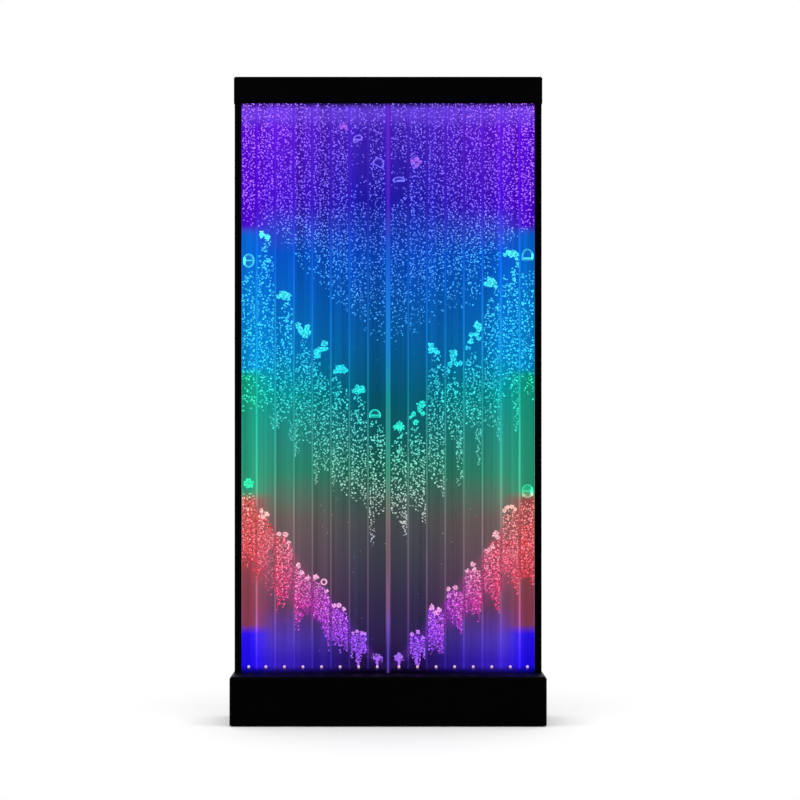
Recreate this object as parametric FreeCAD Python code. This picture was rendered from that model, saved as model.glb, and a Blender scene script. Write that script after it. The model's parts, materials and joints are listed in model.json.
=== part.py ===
import FreeCAD, Part
import math
import os
from FreeCAD import Vector

os.makedirs("parts", exist_ok=True)

# Free-standing LED bubble wall. Millimetres, +Z up, the front faces -Y, the origin is on the floor under
# the middle of the base. Left and right are as seen from the front.

# Extra length of the bodies that cut or join
overcut = 1.0

# Overall sizes
overall_height = 1840.0
frame_width = 876.0
frame_depth = 34.0
base_height = 140.0
base_reach = 108.0
base_side_overhang = 7.0
cap_height = 76.0

# Base cabinet, floor and feet
sheet_wall = 2.0
cabinet_corner = 8.0
skirt_gap = 3.0
deck_clearance = 0.6
floor_thickness = 2.0
foot_height = 6.0
foot_radius = 15.0
foot_taper = 2.0
foot_inset_x = 46.0
foot_panel_gap = 14.0
foot_screw_radius = 2.5
foot_screw_head_radius = 5.0
foot_screw_head_height = 2.5
weld_nut_radius = 5.0
weld_nut_height = 4.0
screw_clearance = 0.2

# Rear panel
recess_depth = 28.5
rear_panel_thickness = 1.5
panel_clearance = 0.5
panel_flange_width = 14.0
panel_screw_radius = 2.0
panel_screw_head_radius = 3.6
panel_screw_head_height = 2.2
panel_screw_length = 9.0
vent_length = 46.0
vent_height = 4.0
vent_end_share = 0.49
vent_row_pitch = 11.0
vent_rows = 6
vent_column_pitch = 56.0
vent_columns = 2
vent_bank_inset = 120.0

# Posts and the light inside them
post_face = 20.0
post_wall = 2.0
post_corner = 2.0
light_bay = 12.0
strip_width = 10.0
strip_thickness = 1.6
strip_seat_height = 2.4
strip_seat_wall = 1.2
strip_clearance = 0.2
strip_bottom_above_sheet = 10.0
strip_top_below_rail = 6.0
chip_size = 5.0
chip_height = 1.6
chip_pitch = 33.3
diffuser_thickness = 2.0
diffuser_gap = 2.0
diffuser_clearance = 0.2
diffuser_stop_height = 1.5
diffuser_stop_wall = 1.2
gasket_width = 5.0
gasket_inset = 0.5

# Tank
channels_per_tank = 8
sheet_thickness = 4.0
channel_depth = 18.0
rib_thickness = 4.0
end_wall_thickness = 5.0
seam_width = 3.0
edge_channel_trim = 8.3
nozzle_bar_height = 30.0
nozzle_bar_reveal = 7.0
rib_lift = 4.0
tank_top_drop = 20.5
header_height = 30.0
water_drop = 8.0
water_clearance = 0.2

# Header rails and cap
header_rail_height = 40.0
header_rail_end_gap = 0.6
header_screw_radius = 1.5
header_screw_head_radius = 3.0
header_screw_tip_gap = 0.4
cap_wall = 1.5
cap_clearance = 0.4
cap_top_corner = 6.0

# Nozzles
nozzle_tip_radius = 3.5
nozzle_tip_height = 12.0
nozzle_shank_radius = 4.0
nozzle_flange_radius = 7.0
nozzle_flange_height = 4.0
nozzle_seal_thickness = 1.5
nozzle_bore_radius = 1.0
nozzle_clearance = 0.1
barb_radius = 2.0
barb_length = 8.0

# Sill that carries the tank
sill_pad_thickness = 3.0
sill_wall = 2.0
sill_flange = 12.0
sill_end_gap = 1.0
sill_hole_radius = 9.0
sill_leg_width = 24.0
sill_leg_wall = 2.0
sill_leg_foot = 40.0
sill_leg_gap = 1.0
sill_leg_ribs = (1, 6)

# Air lines, valves, rails and pumps
line_radius = 3.2
line_clearance = 0.1
line_end_gap = 0.3
line_bend = 12.0
line_drop = 27.0
line_lead = 6.0
valve_offset = 56.0
valve_body_width = 20.0
valve_body_depth = 22.0
valve_body_height = 8.0
valve_coil_radius = 8.5
valve_coil_height = 12.0
rail_height = 14.0
rail_depth = 16.0
rail_end_margin = 14.0
rail_edge = 2.0
rail_bracket_width = 20.0
rail_bracket_wall = 2.0
rail_bracket_foot = 20.0
pump_rib = 5
pump_length = 116.0
pump_width = 72.0
pump_height = 58.0
pump_corner = 8.0
pump_groove_count = 7
pump_groove_width = 3.0
pump_groove_depth = 2.0
pump_foot_height = 8.0
pump_foot_radius = 6.0
pump_foot_inset = 14.0
hose_radius = 5.0
hose_barb_radius = 3.2
hose_barb_length = 10.0

# Drain
drain_port_radius = 4.0
drain_port_depth = 10.0
drain_port_flange = 4.0
drain_hose_radius = 5.0
drain_barb_radius = 3.2
drain_barb_length = 9.0
drain_side_bend = 14.0
drain_down_bend = 16.0
drain_level = 20.0
drain_tee_radius = 6.5
drain_tee_half = 10.0
drain_tee_gap = 4.0
drain_neck_reach = 4.0
drain_neck_radius = 7.0
drain_flange_radius = 12.0
drain_flange_thickness = 3.0
drain_ball_radius = 9.5
drain_ball_setback = 18.0
drain_spout_radius = 6.0
drain_spout_inset = 1.0
drain_boss_radius = 4.5
drain_boss_height = 13.0
drain_stem_radius = 2.2
drain_stem_depth = 6.0
drain_stem_clearance = 0.1
drain_lever_length = 32.0
drain_lever_width = 9.0
drain_lever_thickness = 3.0
drain_lever_gap = 0.3

# Power inlet and switch
inlet_rib = 2
switch_rib = 3
inlet_height = 72.0
inlet_flange_length = 48.0
inlet_flange_height = 28.0
inlet_flange_thickness = 2.5
inlet_body_length = 27.4
inlet_body_height = 20.0
inlet_body_depth = 24.0
inlet_wall = 1.7
inlet_back_wall = 5.0
inlet_key = 4.0
inlet_pin_width = 2.0
inlet_pin_height = 4.0
inlet_pin_length = 13.0
inlet_pin_pitch = 7.0
inlet_screw_pitch = 40.0
switch_bezel_width = 15.0
switch_bezel_height = 21.0
switch_bezel_thickness = 2.0
switch_body_width = 12.8
switch_body_height = 18.8
switch_body_depth = 16.0
switch_wall = 1.0
switch_cavity_depth = 9.0
rocker_side_clearance = 0.3
rocker_end_clearance = 0.5
rocker_thickness = 4.5
rocker_proud = 2.2
rocker_swing = 8.0
rocker_pin_radius = 1.2
rocker_pin_length = 0.9
rocker_pin_clearance = 0.06

# Controller and power supply
board_length = 150.0
board_width = 74.0
board_thickness = 1.6
standoff_height = 8.0
standoff_radius = 3.0
standoff_inset = 6.0
terminal_length = 44.0
terminal_width = 9.0
terminal_height = 11.0
capacitor_radius = 5.0
capacitor_height = 14.0
capacitor_count = 4
driver_width = 10.0
driver_thickness = 4.5
driver_height = 15.0
driver_count = 8
chip_block = 14.0
chip_block_height = 2.0
supply_gap = 14.0
supply_length = 106.0
supply_width = 74.0
supply_height = 38.0
supply_wall = 1.2
supply_slot_count = 7
supply_slot_width = 3.0
lead_radius = 2.0
lead_bend = 7.0
lead_lane = 24.0
lead_turn_in = 18.0

# Post brackets
bracket_width = 16.0
bracket_height = 46.0
bracket_foot = 28.0
bracket_wall = 2.0
bracket_hole_share = 0.7
bolt_radius = 3.0
bolt_head_radius = 5.0
bolt_head_height = 3.0
bolt_reach = 5.0


# Places that follow from the sizes
half_frame = frame_width / 2
half_depth = frame_depth / 2
half_base = half_frame + base_side_overhang
half_base_depth = half_depth + base_reach
inner_half_base = half_base - sheet_wall
front_wall_inner = -half_base_depth + sheet_wall
floor_top = foot_height + floor_thickness
deck_under = base_height - sheet_wall
panel_back = half_base_depth - recess_depth
panel_front = panel_back - rear_panel_thickness
post_inner = half_frame - post_wall
post_edge = half_frame - post_face
posts_top = overall_height - cap_wall
tank_half = post_inner - light_bay
tank_half_depth = channel_depth / 2 + sheet_thickness
channel_half = channel_depth / 2
nozzle_bar_top = base_height + nozzle_bar_reveal
tank_bottom = nozzle_bar_top - nozzle_bar_height
tank_top = posts_top - tank_top_drop
ribs_top = tank_top - header_height
water_level = ribs_top - water_drop
header_rail_bottom = tank_top - header_rail_height
tank_inner_start = seam_width / 2 + end_wall_thickness
tank_inner_end = tank_half - end_wall_thickness
rib_pitch = (tank_inner_end - tank_inner_start + rib_thickness + edge_channel_trim) / channels_per_tank
sill_top = tank_bottom - sill_pad_thickness
sill_half = post_edge - sill_end_gap
line_level = tank_bottom - line_drop
valve_top = line_level - line_bend - line_lead
rail_top = valve_top - valve_body_height - valve_coil_height
rail_bottom = rail_top - rail_height
rail_middle = rail_bottom + rail_height / 2
nozzle_flange_top = tank_bottom - nozzle_seal_thickness
nozzle_flange_bottom = nozzle_flange_top - nozzle_flange_height
bay_middle = (front_wall_inner - half_depth) / 2
drain_z = floor_top + drain_level
drain_tee_z = line_level - line_radius - drain_tee_gap - drain_hose_radius
drain_neck_face = panel_front - drain_flange_thickness - drain_neck_reach
drain_ball_y = half_base_depth - drain_ball_setback


def rib_x(index):
    """Middle of a rib in the right tank, counted from the seam."""
    return tank_inner_start + rib_pitch * (index + 1) - rib_thickness / 2


def channel_span(index):
    """Inner edges of a channel in the right tank, counted from the seam."""
    start = tank_inner_start + rib_pitch * index
    end = start + rib_pitch - rib_thickness
    if index == channels_per_tank - 1:
        end = tank_inner_end
    return start, end


def channel_middle(index):
    start, end = channel_span(index)
    return (start + end) / 2


# Helpers
def block(x0, x1, y0, y1, z0, z1):
    return Part.makeBox(x1 - x0, y1 - y0, z1 - z0, Vector(x0, y0, z0))


def rod(radius, start, end):
    direction = end - start
    return Part.makeCylinder(radius, direction.Length, start, direction)


def ring(outer, inner, start, end):
    return rod(outer, start, end).cut(rod(inner, start, end))


def fuse_all(shapes):
    result = shapes[0]
    for shape in shapes[1:]:
        result = result.fuse(shape)
    return result.removeSplitter()


def cut_all(shape, tools):
    for tool in tools:
        shape = shape.cut(tool)
    return shape


def edges_along(shape, direction):
    """Straight edges of a shape that run along a direction."""
    chosen = []
    for edge in shape.Edges:
        if isinstance(edge.Curve, (Part.Line, Part.LineSegment)):
            along = edge.tangentAt(edge.FirstParameter)
            if abs(abs(along.dot(direction)) - 1) < 1e-6:
                chosen.append(edge)
    return chosen


def mirrored(shape):
    return shape.mirror(Vector(0, 0, 0), Vector(1, 0, 0))


def both_sides(shapes):
    return shapes + [mirrored(shape) for shape in shapes]


def tube(points, bend, outer, inner=0.0):
    """Round tube along straight runs joined by tangent arcs."""
    edges = []
    start = points[0]
    for before, corner, after in zip(points, points[1:], points[2:]):
        arrive = (corner - before).normalize()
        leave = (after - corner).normalize()
        turn = arrive.getAngle(leave)
        setback = bend * math.tan(turn / 2)
        arc_start = corner - arrive * setback
        arc_end = corner + leave * setback
        inward = (leave - arrive).normalize()
        arc_middle = corner + inward * (bend / math.cos(turn / 2) - bend)
        edges.append(Part.LineSegment(start, arc_start).toShape())
        edges.append(Part.Arc(arc_start, arc_middle, arc_end).toShape())
        start = arc_end
    edges.append(Part.LineSegment(start, points[-1]).toShape())
    path = Part.Wire(edges)
    direction = (points[1] - points[0]).normalize()

    def sweep(radius):
        circle = Part.Wire([Part.makeCircle(radius, points[0], direction)])
        return path.makePipeShell([circle], True, False)

    solid = sweep(outer)
    if inner > 0:
        solid = solid.cut(sweep(inner))
    return solid


def export(name, shapes):
    if isinstance(shapes, list):
        shape = Part.makeCompound(shapes)
    else:
        shape = shapes
    shape.exportStep("parts/" + name + ".step")
    print(name, len(shape.Solids), "solids", round(shape.Volume), "mm3", shape.isValid())


# Base cabinet
def rounded_shell_block(half_x, front, back, bottom, top, radius):
    """Block with rounded front corners and rounded front and side top edges."""
    solid = block(-half_x, half_x, front, back, bottom, top)
    chosen = []
    for edge in solid.Edges:
        middle = edge.CenterOfMass
        upright_front = abs(middle.y - front) < 1e-6 and abs(abs(middle.x) - half_x) < 1e-6
        top_front = abs(middle.z - top) < 1e-6 and abs(middle.y - front) < 1e-6
        top_side = abs(middle.z - top) < 1e-6 and abs(abs(middle.x) - half_x) < 1e-6
        if upright_front or top_front or top_side:
            chosen.append(edge)
    return solid.makeFillet(radius, chosen)


def panel_screw_places():
    side_x = inner_half_base - panel_flange_width / 2
    low = floor_top + panel_flange_width
    high = deck_under - panel_flange_width
    places = []
    for sign in (-1, 1):
        for z in (low, (low + high) / 2, high):
            places.append((sign * side_x, z))
        places.append((sign * half_frame / 3, deck_under - panel_flange_width / 2))
    return places


def inlet_screw_places():
    x = rib_x(inlet_rib)
    return [(x - inlet_screw_pitch / 2, inlet_height), (x + inlet_screw_pitch / 2, inlet_height)]


def make_cabinet():
    inner_corner = cabinet_corner - sheet_wall
    shell = rounded_shell_block(half_base, -half_base_depth, half_base_depth, skirt_gap, base_height,
                                cabinet_corner)
    hollow = rounded_shell_block(inner_half_base, front_wall_inner, half_base_depth + sheet_wall,
                                 skirt_gap - sheet_wall, deck_under, inner_corner)
    shell = shell.cut(hollow)
    flange_front = panel_front - sheet_wall
    inner_edge = inner_half_base - panel_flange_width
    flange = block(-inner_half_base, inner_half_base, flange_front, panel_front, floor_top, deck_under)
    window = block(-inner_edge, inner_edge, flange_front, panel_front, floor_top,
                   deck_under - panel_flange_width)
    flange = flange.cut(window)
    shell = fuse_all([shell, flange.common(hollow)])
    slot_x = half_frame + deck_clearance
    slot_y = half_depth + deck_clearance
    cuts = [block(-slot_x, slot_x, -slot_y, slot_y, deck_under - overcut, base_height + overcut)]
    for x, z in panel_screw_places():
        cuts.append(rod(panel_screw_radius + screw_clearance / 2, Vector(x, flange_front - overcut, z),
                        Vector(x, panel_front + overcut, z)))
    return cut_all(shell, cuts)


# Floor plate and feet
def foot_places():
    x = half_base - foot_inset_x
    y = panel_front - foot_panel_gap
    return [(-x, -y), (0, -y), (x, -y), (-x, y), (0, y), (x, y)]


def make_floor():
    plate = block(-inner_half_base, inner_half_base, front_wall_inner, half_base_depth, foot_height,
                  floor_top)
    corners = []
    for edge in edges_along(plate, Vector(0, 0, 1)):
        if edge.CenterOfMass.y < 0:
            corners.append(edge)
    plate = plate.makeFillet(cabinet_corner - sheet_wall, corners)
    bosses = []
    holes = []
    for x, y in foot_places():
        bosses.append(rod(weld_nut_radius, Vector(x, y, floor_top),
                          Vector(x, y, floor_top + weld_nut_height)))
        holes.append(rod(foot_screw_radius + screw_clearance / 2, Vector(x, y, 0),
                         Vector(x, y, floor_top + weld_nut_height + overcut)))
    for x, y in post_foot_bolt_places():
        holes.append(rod(bolt_radius + screw_clearance / 2, Vector(x, y, 0),
                         Vector(x, y, floor_top + overcut)))
    return cut_all(fuse_all([plate] + bosses), holes)


def make_feet():
    pads = []
    head_seat = foot_height / 3 + foot_screw_head_height
    for x, y in foot_places():
        pad = Part.makeCone(foot_radius - foot_taper, foot_radius, foot_height, Vector(x, y, 0))
        through = rod(foot_screw_radius + screw_clearance / 2, Vector(x, y, 0), Vector(x, y, foot_height))
        pocket = rod(foot_screw_head_radius + screw_clearance, Vector(x, y, 0), Vector(x, y, head_seat))
        pads.append(cut_all(pad, [through, pocket]))
    return pads


def make_foot_screws():
    screws = []
    head_bottom = foot_height / 3
    head_top = head_bottom + foot_screw_head_height
    for x, y in foot_places():
        head = rod(foot_screw_head_radius, Vector(x, y, head_bottom), Vector(x, y, head_top))
        shank = rod(foot_screw_radius, Vector(x, y, head_top), Vector(x, y, floor_top + weld_nut_height))
        screws.append(fuse_all([head, shank]))
    return screws


# Rear panel
def vent_slots():
    slots = []
    rows_span = (vent_rows - 1) * vent_row_pitch
    columns_span = (vent_columns - 1) * vent_column_pitch
    middle_z = (floor_top + deck_under) / 2
    for sign in (-1, 1):
        bank_x = sign * (inner_half_base - vent_bank_inset)
        for row in range(vent_rows):
            z = middle_z - rows_span / 2 + row * vent_row_pitch
            for column in range(vent_columns):
                x = bank_x - columns_span / 2 + column * vent_column_pitch
                slot = block(x - vent_length / 2, x + vent_length / 2, panel_front - overcut,
                             panel_back + overcut,
                             z - vent_height / 2, z + vent_height / 2)
                slots.append(slot.makeFillet(vent_height * vent_end_share,
                                             edges_along(slot, Vector(0, 1, 0))))
    return slots


def make_rear_panel():
    edge = inner_half_base - panel_clearance
    top = deck_under - panel_clearance
    panel = block(-edge, edge, panel_front, panel_back, floor_top + panel_clearance, top)
    corners = []
    for corner in edges_along(panel, Vector(0, 1, 0)):
        if abs(corner.CenterOfMass.z - top) < 1e-6:
            corners.append(corner)
    panel = panel.makeFillet(cabinet_corner - sheet_wall, corners)
    cuts = vent_slots()
    for x, z in panel_screw_places() + inlet_screw_places():
        cuts.append(rod(panel_screw_radius + screw_clearance / 2, Vector(x, panel_front - overcut, z),
                        Vector(x, panel_back + overcut, z)))
    x = rib_x(inlet_rib)
    half_length = inlet_body_length / 2 + panel_clearance / 2
    half_height = inlet_body_height / 2 + panel_clearance / 2
    cuts.append(block(x - half_length, x + half_length, panel_front - overcut, panel_back + overcut,
                      inlet_height - half_height, inlet_height + half_height))
    x = rib_x(switch_rib)
    half_length = switch_body_width / 2 + panel_clearance / 2
    half_height = switch_body_height / 2 + panel_clearance / 2
    cuts.append(block(x - half_length, x + half_length, panel_front - overcut, panel_back + overcut,
                      inlet_height - half_height, inlet_height + half_height))
    cuts.append(rod(drain_neck_radius + screw_clearance, Vector(0, panel_front - overcut, drain_z),
                    Vector(0, panel_back + overcut, drain_z)))
    return cut_all(panel, cuts)


def screw_at(x, z, seat):
    """Pan-head screw that enters towards the front, its head on the seat."""
    head = rod(panel_screw_head_radius, Vector(x, seat, z), Vector(x, seat + panel_screw_head_height, z))
    rim = []
    for edge in head.Edges:
        if abs(edge.CenterOfMass.y - seat - panel_screw_head_height) < 1e-6 and edge.Closed:
            rim.append(edge)
    head = head.makeFillet(panel_screw_head_height / 2, rim)
    shank = rod(panel_screw_radius, Vector(x, seat - panel_screw_length, z), Vector(x, seat, z))
    return fuse_all([head, shank])


def make_panel_screws():
    screws = [screw_at(x, z, panel_back) for x, z in panel_screw_places()]
    seat = panel_back + inlet_flange_thickness
    return screws + [screw_at(x, z, seat) for x, z in inlet_screw_places()]


# Posts
def make_right_post():
    web = block(post_inner, half_frame, -half_depth, half_depth, floor_top, posts_top)
    front = block(post_edge, half_frame, -half_depth, -half_depth + post_wall, floor_top, posts_top)
    back = block(post_edge, half_frame, half_depth - post_wall, half_depth, floor_top, posts_top)
    channel = fuse_all([web, front, back])
    corners = []
    for edge in edges_along(channel, Vector(0, 0, 1)):
        middle = edge.CenterOfMass
        if abs(middle.x - half_frame) < 1e-6:
            corners.append(edge)
    channel = channel.makeFillet(post_corner, corners)
    seat_inner = strip_width / 2 + strip_clearance
    stop_x = tank_half + diffuser_gap + diffuser_thickness
    pieces = [channel]
    for sign in (-1, 1):
        seat = sorted((sign * seat_inner, sign * (seat_inner + strip_seat_wall)))
        pieces.append(block(post_inner - strip_seat_height, post_inner, seat[0], seat[1], floor_top,
                            posts_top))
        wall = half_depth - post_wall
        stop = sorted((sign * (wall - diffuser_stop_height), sign * wall))
        pieces.append(block(stop_x, stop_x + diffuser_stop_wall, stop[0], stop[1], floor_top,
                            header_rail_bottom))
    post = fuse_all(pieces)
    cuts = right_header_screws(screw_clearance / 2)
    round_off = cap_top_corner - cap_wall + cap_clearance
    corner = block(half_frame - round_off, half_frame + overcut, -half_depth - overcut, half_depth + overcut,
                   posts_top - round_off, posts_top + overcut)
    arc_x = half_frame - round_off
    arc_z = posts_top - round_off
    cuts.append(corner.cut(rod(round_off, Vector(arc_x, -half_depth - overcut, arc_z),
                               Vector(arc_x, half_depth + overcut, arc_z))))
    bolt_z = floor_top + bracket_height * bracket_hole_share
    bolt_x = (post_edge + half_frame) / 2
    cuts.append(rod(bolt_radius + screw_clearance / 2, Vector(bolt_x, -half_depth - overcut, bolt_z),
                    Vector(bolt_x, half_depth + overcut, bolt_z)))
    return cut_all(post, cuts)


def right_header_screws(extra):
    """Countersunk screws from the post flanges into the header rails."""
    x = (post_edge + half_frame) / 2
    z = (header_rail_bottom + tank_top) / 2
    depth = header_screw_head_radius - header_screw_radius
    screws = []
    for sign in (-1, 1):
        outer = Vector(x, sign * half_depth, z)
        inward = Vector(0, -sign, 0)
        head = Part.makeCone(header_screw_head_radius + extra, header_screw_radius + extra, depth, outer,
                             inward)
        shank_length = half_depth - tank_half_depth - header_screw_tip_gap
        shank = Part.makeCylinder(header_screw_radius + extra, shank_length, outer, inward)
        screws.append(fuse_all([head, shank]))
    return screws


def make_header_rails():
    end = post_inner - header_rail_end_gap
    wall = half_depth - post_wall
    front = block(-end, end, -wall, -tank_half_depth, header_rail_bottom, tank_top)
    back = block(-end, end, tank_half_depth, wall, header_rail_bottom, tank_top)
    holes = both_sides(right_header_screws(screw_clearance / 2))
    return [cut_all(front, holes), cut_all(back, holes)]


def make_gaskets():
    wall = half_depth - post_wall
    x0 = post_edge + gasket_inset
    x1 = x0 + gasket_width
    front = block(x0, x1, -wall, -tank_half_depth, tank_bottom, header_rail_bottom)
    back = block(x0, x1, tank_half_depth, wall, tank_bottom, header_rail_bottom)
    return both_sides([front, back])


# Light strips
def light_span():
    return tank_bottom + strip_bottom_above_sheet, header_rail_bottom - strip_top_below_rail


def make_right_strip():
    bottom, top = light_span()
    return block(post_inner - strip_thickness, post_inner, -strip_width / 2, strip_width / 2, bottom, top)


def make_right_chips():
    bottom, top = light_span()
    face = post_inner - strip_thickness
    chips = []
    count = int((top - bottom - chip_pitch) / chip_pitch)
    start = (bottom + top) / 2 - (count - 1) * chip_pitch / 2
    for index in range(count):
        z = start + index * chip_pitch
        half = chip_size / 2
        chips.append(block(face - chip_height, face, -half, half, z - half, z + half))
    return chips


def make_diffusers():
    bottom, top = light_span()
    x0 = tank_half + diffuser_gap
    y = half_depth - post_wall - diffuser_clearance
    strip = block(x0, x0 + diffuser_thickness, -y, y, bottom, top)
    return both_sides([strip])


def post_foot_bolt_places():
    x = (post_edge + half_frame) / 2
    y = half_depth + bracket_wall + bracket_foot / 2
    return [(-x, -y), (-x, y), (x, -y), (x, y)]


def make_post_brackets():
    x = (post_edge + half_frame) / 2
    x0 = x - bracket_width / 2
    x1 = x + bracket_width / 2
    top = floor_top + bracket_height
    hole_z = floor_top + bracket_height * bracket_hole_share
    brackets = []
    for sign in (-1, 1):
        upright_y = sorted((sign * half_depth, sign * (half_depth + bracket_wall)))
        foot_y = sorted((sign * half_depth, sign * (half_depth + bracket_wall + bracket_foot)))
        upright = block(x0, x1, upright_y[0], upright_y[1], floor_top, top)
        foot = block(x0, x1, foot_y[0], foot_y[1], floor_top, floor_top + bracket_wall)
        bracket = fuse_all([upright, foot])
        foot_hole_y = sign * (half_depth + bracket_wall + bracket_foot / 2)
        holes = [rod(bolt_radius + screw_clearance / 2, Vector(x, foot_hole_y, floor_top - overcut),
                     Vector(x, foot_hole_y, floor_top + bracket_wall + overcut)),
                 rod(bolt_radius + screw_clearance / 2, Vector(x, upright_y[0] - overcut, hole_z),
                     Vector(x, upright_y[1] + overcut, hole_z))]
        brackets.append(cut_all(bracket, holes))
    return both_sides(brackets)


def bolt(seat, inward, length):
    """Hex-head bolt with its head on the seat."""
    outward = inward * -1
    across = Vector(1, 0, 0)
    corners = []
    for index in range(6):
        turned = FreeCAD.Rotation(outward, 60 * index).multVec(across)
        corners.append(seat + turned * bolt_head_radius)
    corners.append(corners[0])
    head = Part.Face(Part.makePolygon(corners)).extrude(outward * bolt_head_height)
    shank = Part.makeCylinder(bolt_radius, length, seat, inward)
    return fuse_all([head, shank])


def make_post_bolts():
    x = (post_edge + half_frame) / 2
    z = floor_top + bracket_height * bracket_hole_share
    bolts = []
    for sign in (-1, 1):
        face = half_depth + bracket_wall
        bolts.append(bolt(Vector(x, sign * face, z), Vector(0, -sign, 0),
                          bracket_wall + post_wall + bolt_reach))
        foot_y = sign * (face + bracket_foot / 2)
        seat = Vector(x, foot_y, floor_top + bracket_wall)
        bolts.append(bolt(seat, Vector(0, 0, -1), bracket_wall + floor_thickness))
    return both_sides(bolts)


# Top cap
def rounded_ends(x0, x1, y0, y1, z0, z1, radius):
    """Block with its two short top edges rounded."""
    solid = block(x0, x1, y0, y1, z0, z1)
    ends = [edge for edge in edges_along(solid, Vector(0, 1, 0)) if abs(edge.CenterOfMass.z - z1) < 1e-6]
    return solid.makeFillet(radius, ends)


def make_cap():
    half_x = half_frame + cap_clearance + cap_wall
    half_y = half_depth + cap_clearance + cap_wall
    bottom = overall_height - cap_height
    outer = rounded_ends(-half_x, half_x, -half_y, half_y, bottom, overall_height, cap_top_corner)
    rim = []
    for edge in outer.Edges:
        middle = edge.CenterOfMass
        if abs(abs(middle.y) - half_y) < 1e-6 and middle.z > bottom + 1e-6:
            rim.append(edge)
    outer = outer.makeFillet(cap_wall, rim)
    inner = rounded_ends(-half_x + cap_wall, half_x - cap_wall, -half_y + cap_wall, half_y - cap_wall,
                         bottom - overcut, posts_top, cap_top_corner - cap_wall)
    return outer.cut(inner)


# Tank, right half
def make_right_front_sheet():
    return block(seam_width / 2, tank_half, -tank_half_depth, -channel_half, tank_bottom, tank_top)


def make_right_back_sheet():
    return block(seam_width / 2, tank_half, channel_half, tank_half_depth, tank_bottom, tank_top)


def make_right_end_walls():
    inner = block(seam_width / 2, tank_inner_start, -channel_half, channel_half, tank_bottom, tank_top)
    outer = block(tank_inner_end, tank_half, -channel_half, channel_half, tank_bottom, tank_top)
    return [inner, outer]


def make_right_ribs():
    ribs = []
    for index in range(channels_per_tank - 1):
        x = rib_x(index)
        ribs.append(block(x - rib_thickness / 2, x + rib_thickness / 2, -channel_half, channel_half,
                          nozzle_bar_top + rib_lift, ribs_top))
    return ribs


def drain_x():
    return (channel_middle(0) + rib_x(0)) / 2 + nozzle_flange_radius / 2


def make_right_nozzle_bar():
    bar = block(tank_inner_start, tank_inner_end, -channel_half, channel_half, tank_bottom, nozzle_bar_top)
    holes = []
    for index in range(channels_per_tank):
        x = channel_middle(index)
        holes.append(rod(nozzle_shank_radius + nozzle_clearance, Vector(x, 0, tank_bottom - overcut),
                         Vector(x, 0, nozzle_bar_top + overcut)))
    x = drain_x()
    holes.append(rod(drain_port_radius, Vector(x, 0, tank_bottom - overcut),
                     Vector(x, 0, nozzle_bar_top + overcut)))
    return cut_all(bar, holes)


def make_seam_strip():
    return block(-seam_width / 2, seam_width / 2, -tank_half_depth, tank_half_depth, tank_bottom, tank_top)


def make_right_water():
    columns = []
    bottom = nozzle_bar_top + water_clearance
    depth = channel_half - water_clearance
    for index in range(channels_per_tank):
        start, end = channel_span(index)
        x = channel_middle(index)
        column = block(start + water_clearance, end - water_clearance, -depth, depth, bottom, water_level)
        pocket = rod(nozzle_tip_radius + water_clearance, Vector(x, 0, nozzle_bar_top),
                     Vector(x, 0, nozzle_bar_top + nozzle_tip_height + water_clearance))
        columns.append(column.cut(pocket))
    return columns


# Nozzles
def make_right_nozzles():
    tip_top = nozzle_bar_top + nozzle_tip_height
    shoulder = tip_top - nozzle_tip_radius * 0.7
    dome = nozzle_tip_radius * math.sqrt(0.5)
    barb_bottom = nozzle_flange_bottom - barb_length
    bore = nozzle_bore_radius
    dome_start = Vector(nozzle_tip_radius, 0, shoulder)
    dome_end = Vector(bore, 0, tip_top)
    dome_middle = Vector(dome, 0, shoulder + (tip_top - shoulder) * 0.75)
    outline = [
        Vector(bore, 0, tip_top),
        Vector(bore, 0, barb_bottom),
        Vector(barb_radius, 0, barb_bottom),
        Vector(barb_radius, 0, nozzle_flange_bottom),
        Vector(nozzle_flange_radius, 0, nozzle_flange_bottom),
        Vector(nozzle_flange_radius, 0, nozzle_flange_top),
        Vector(nozzle_shank_radius, 0, nozzle_flange_top),
        Vector(nozzle_shank_radius, 0, nozzle_bar_top),
        Vector(nozzle_tip_radius, 0, nozzle_bar_top),
        dome_start,
    ]
    edges = []
    for first, second in zip(outline, outline[1:]):
        edges.append(Part.LineSegment(first, second).toShape())
    edges.append(Part.Arc(dome_start, dome_middle, dome_end).toShape())
    face = Part.Face(Part.Wire(edges))
    nozzle = face.revolve(Vector(0, 0, 0), Vector(0, 0, 1), 360)
    nozzles = []
    for index in range(channels_per_tank):
        nozzles.append(nozzle.translated(Vector(channel_middle(index), 0, 0)))
    return nozzles


def make_nozzle_seals():
    seals = []
    for index in range(channels_per_tank):
        x = channel_middle(index)
        seals.append(ring(nozzle_flange_radius, nozzle_shank_radius + nozzle_clearance,
                          Vector(x, 0, nozzle_flange_top), Vector(x, 0, tank_bottom)))
    return both_sides(seals)


# Sill
def sill_holes(bottom, top):
    holes = []
    for index in range(channels_per_tank):
        x = channel_middle(index)
        holes.append(rod(sill_hole_radius, Vector(x, 0, bottom), Vector(x, 0, top)))
    x = drain_x()
    holes.append(rod(sill_hole_radius, Vector(x, 0, bottom), Vector(x, 0, top)))
    return both_sides(holes)


def make_sill():
    web = block(-sill_half, sill_half, -half_depth, half_depth, sill_top - sill_wall, sill_top)
    lower = sill_top - sill_wall - sill_flange
    front = block(-sill_half, sill_half, -half_depth, -half_depth + sill_wall, lower, sill_top)
    back = block(-sill_half, sill_half, half_depth - sill_wall, half_depth, lower, sill_top)
    return cut_all(fuse_all([web, front, back]), sill_holes(lower - overcut, sill_top + overcut))


def make_sill_pad():
    pad = block(-sill_half, sill_half, -tank_half_depth, tank_half_depth, sill_top, tank_bottom)
    return cut_all(pad, sill_holes(sill_top - overcut, tank_bottom + overcut))


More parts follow.
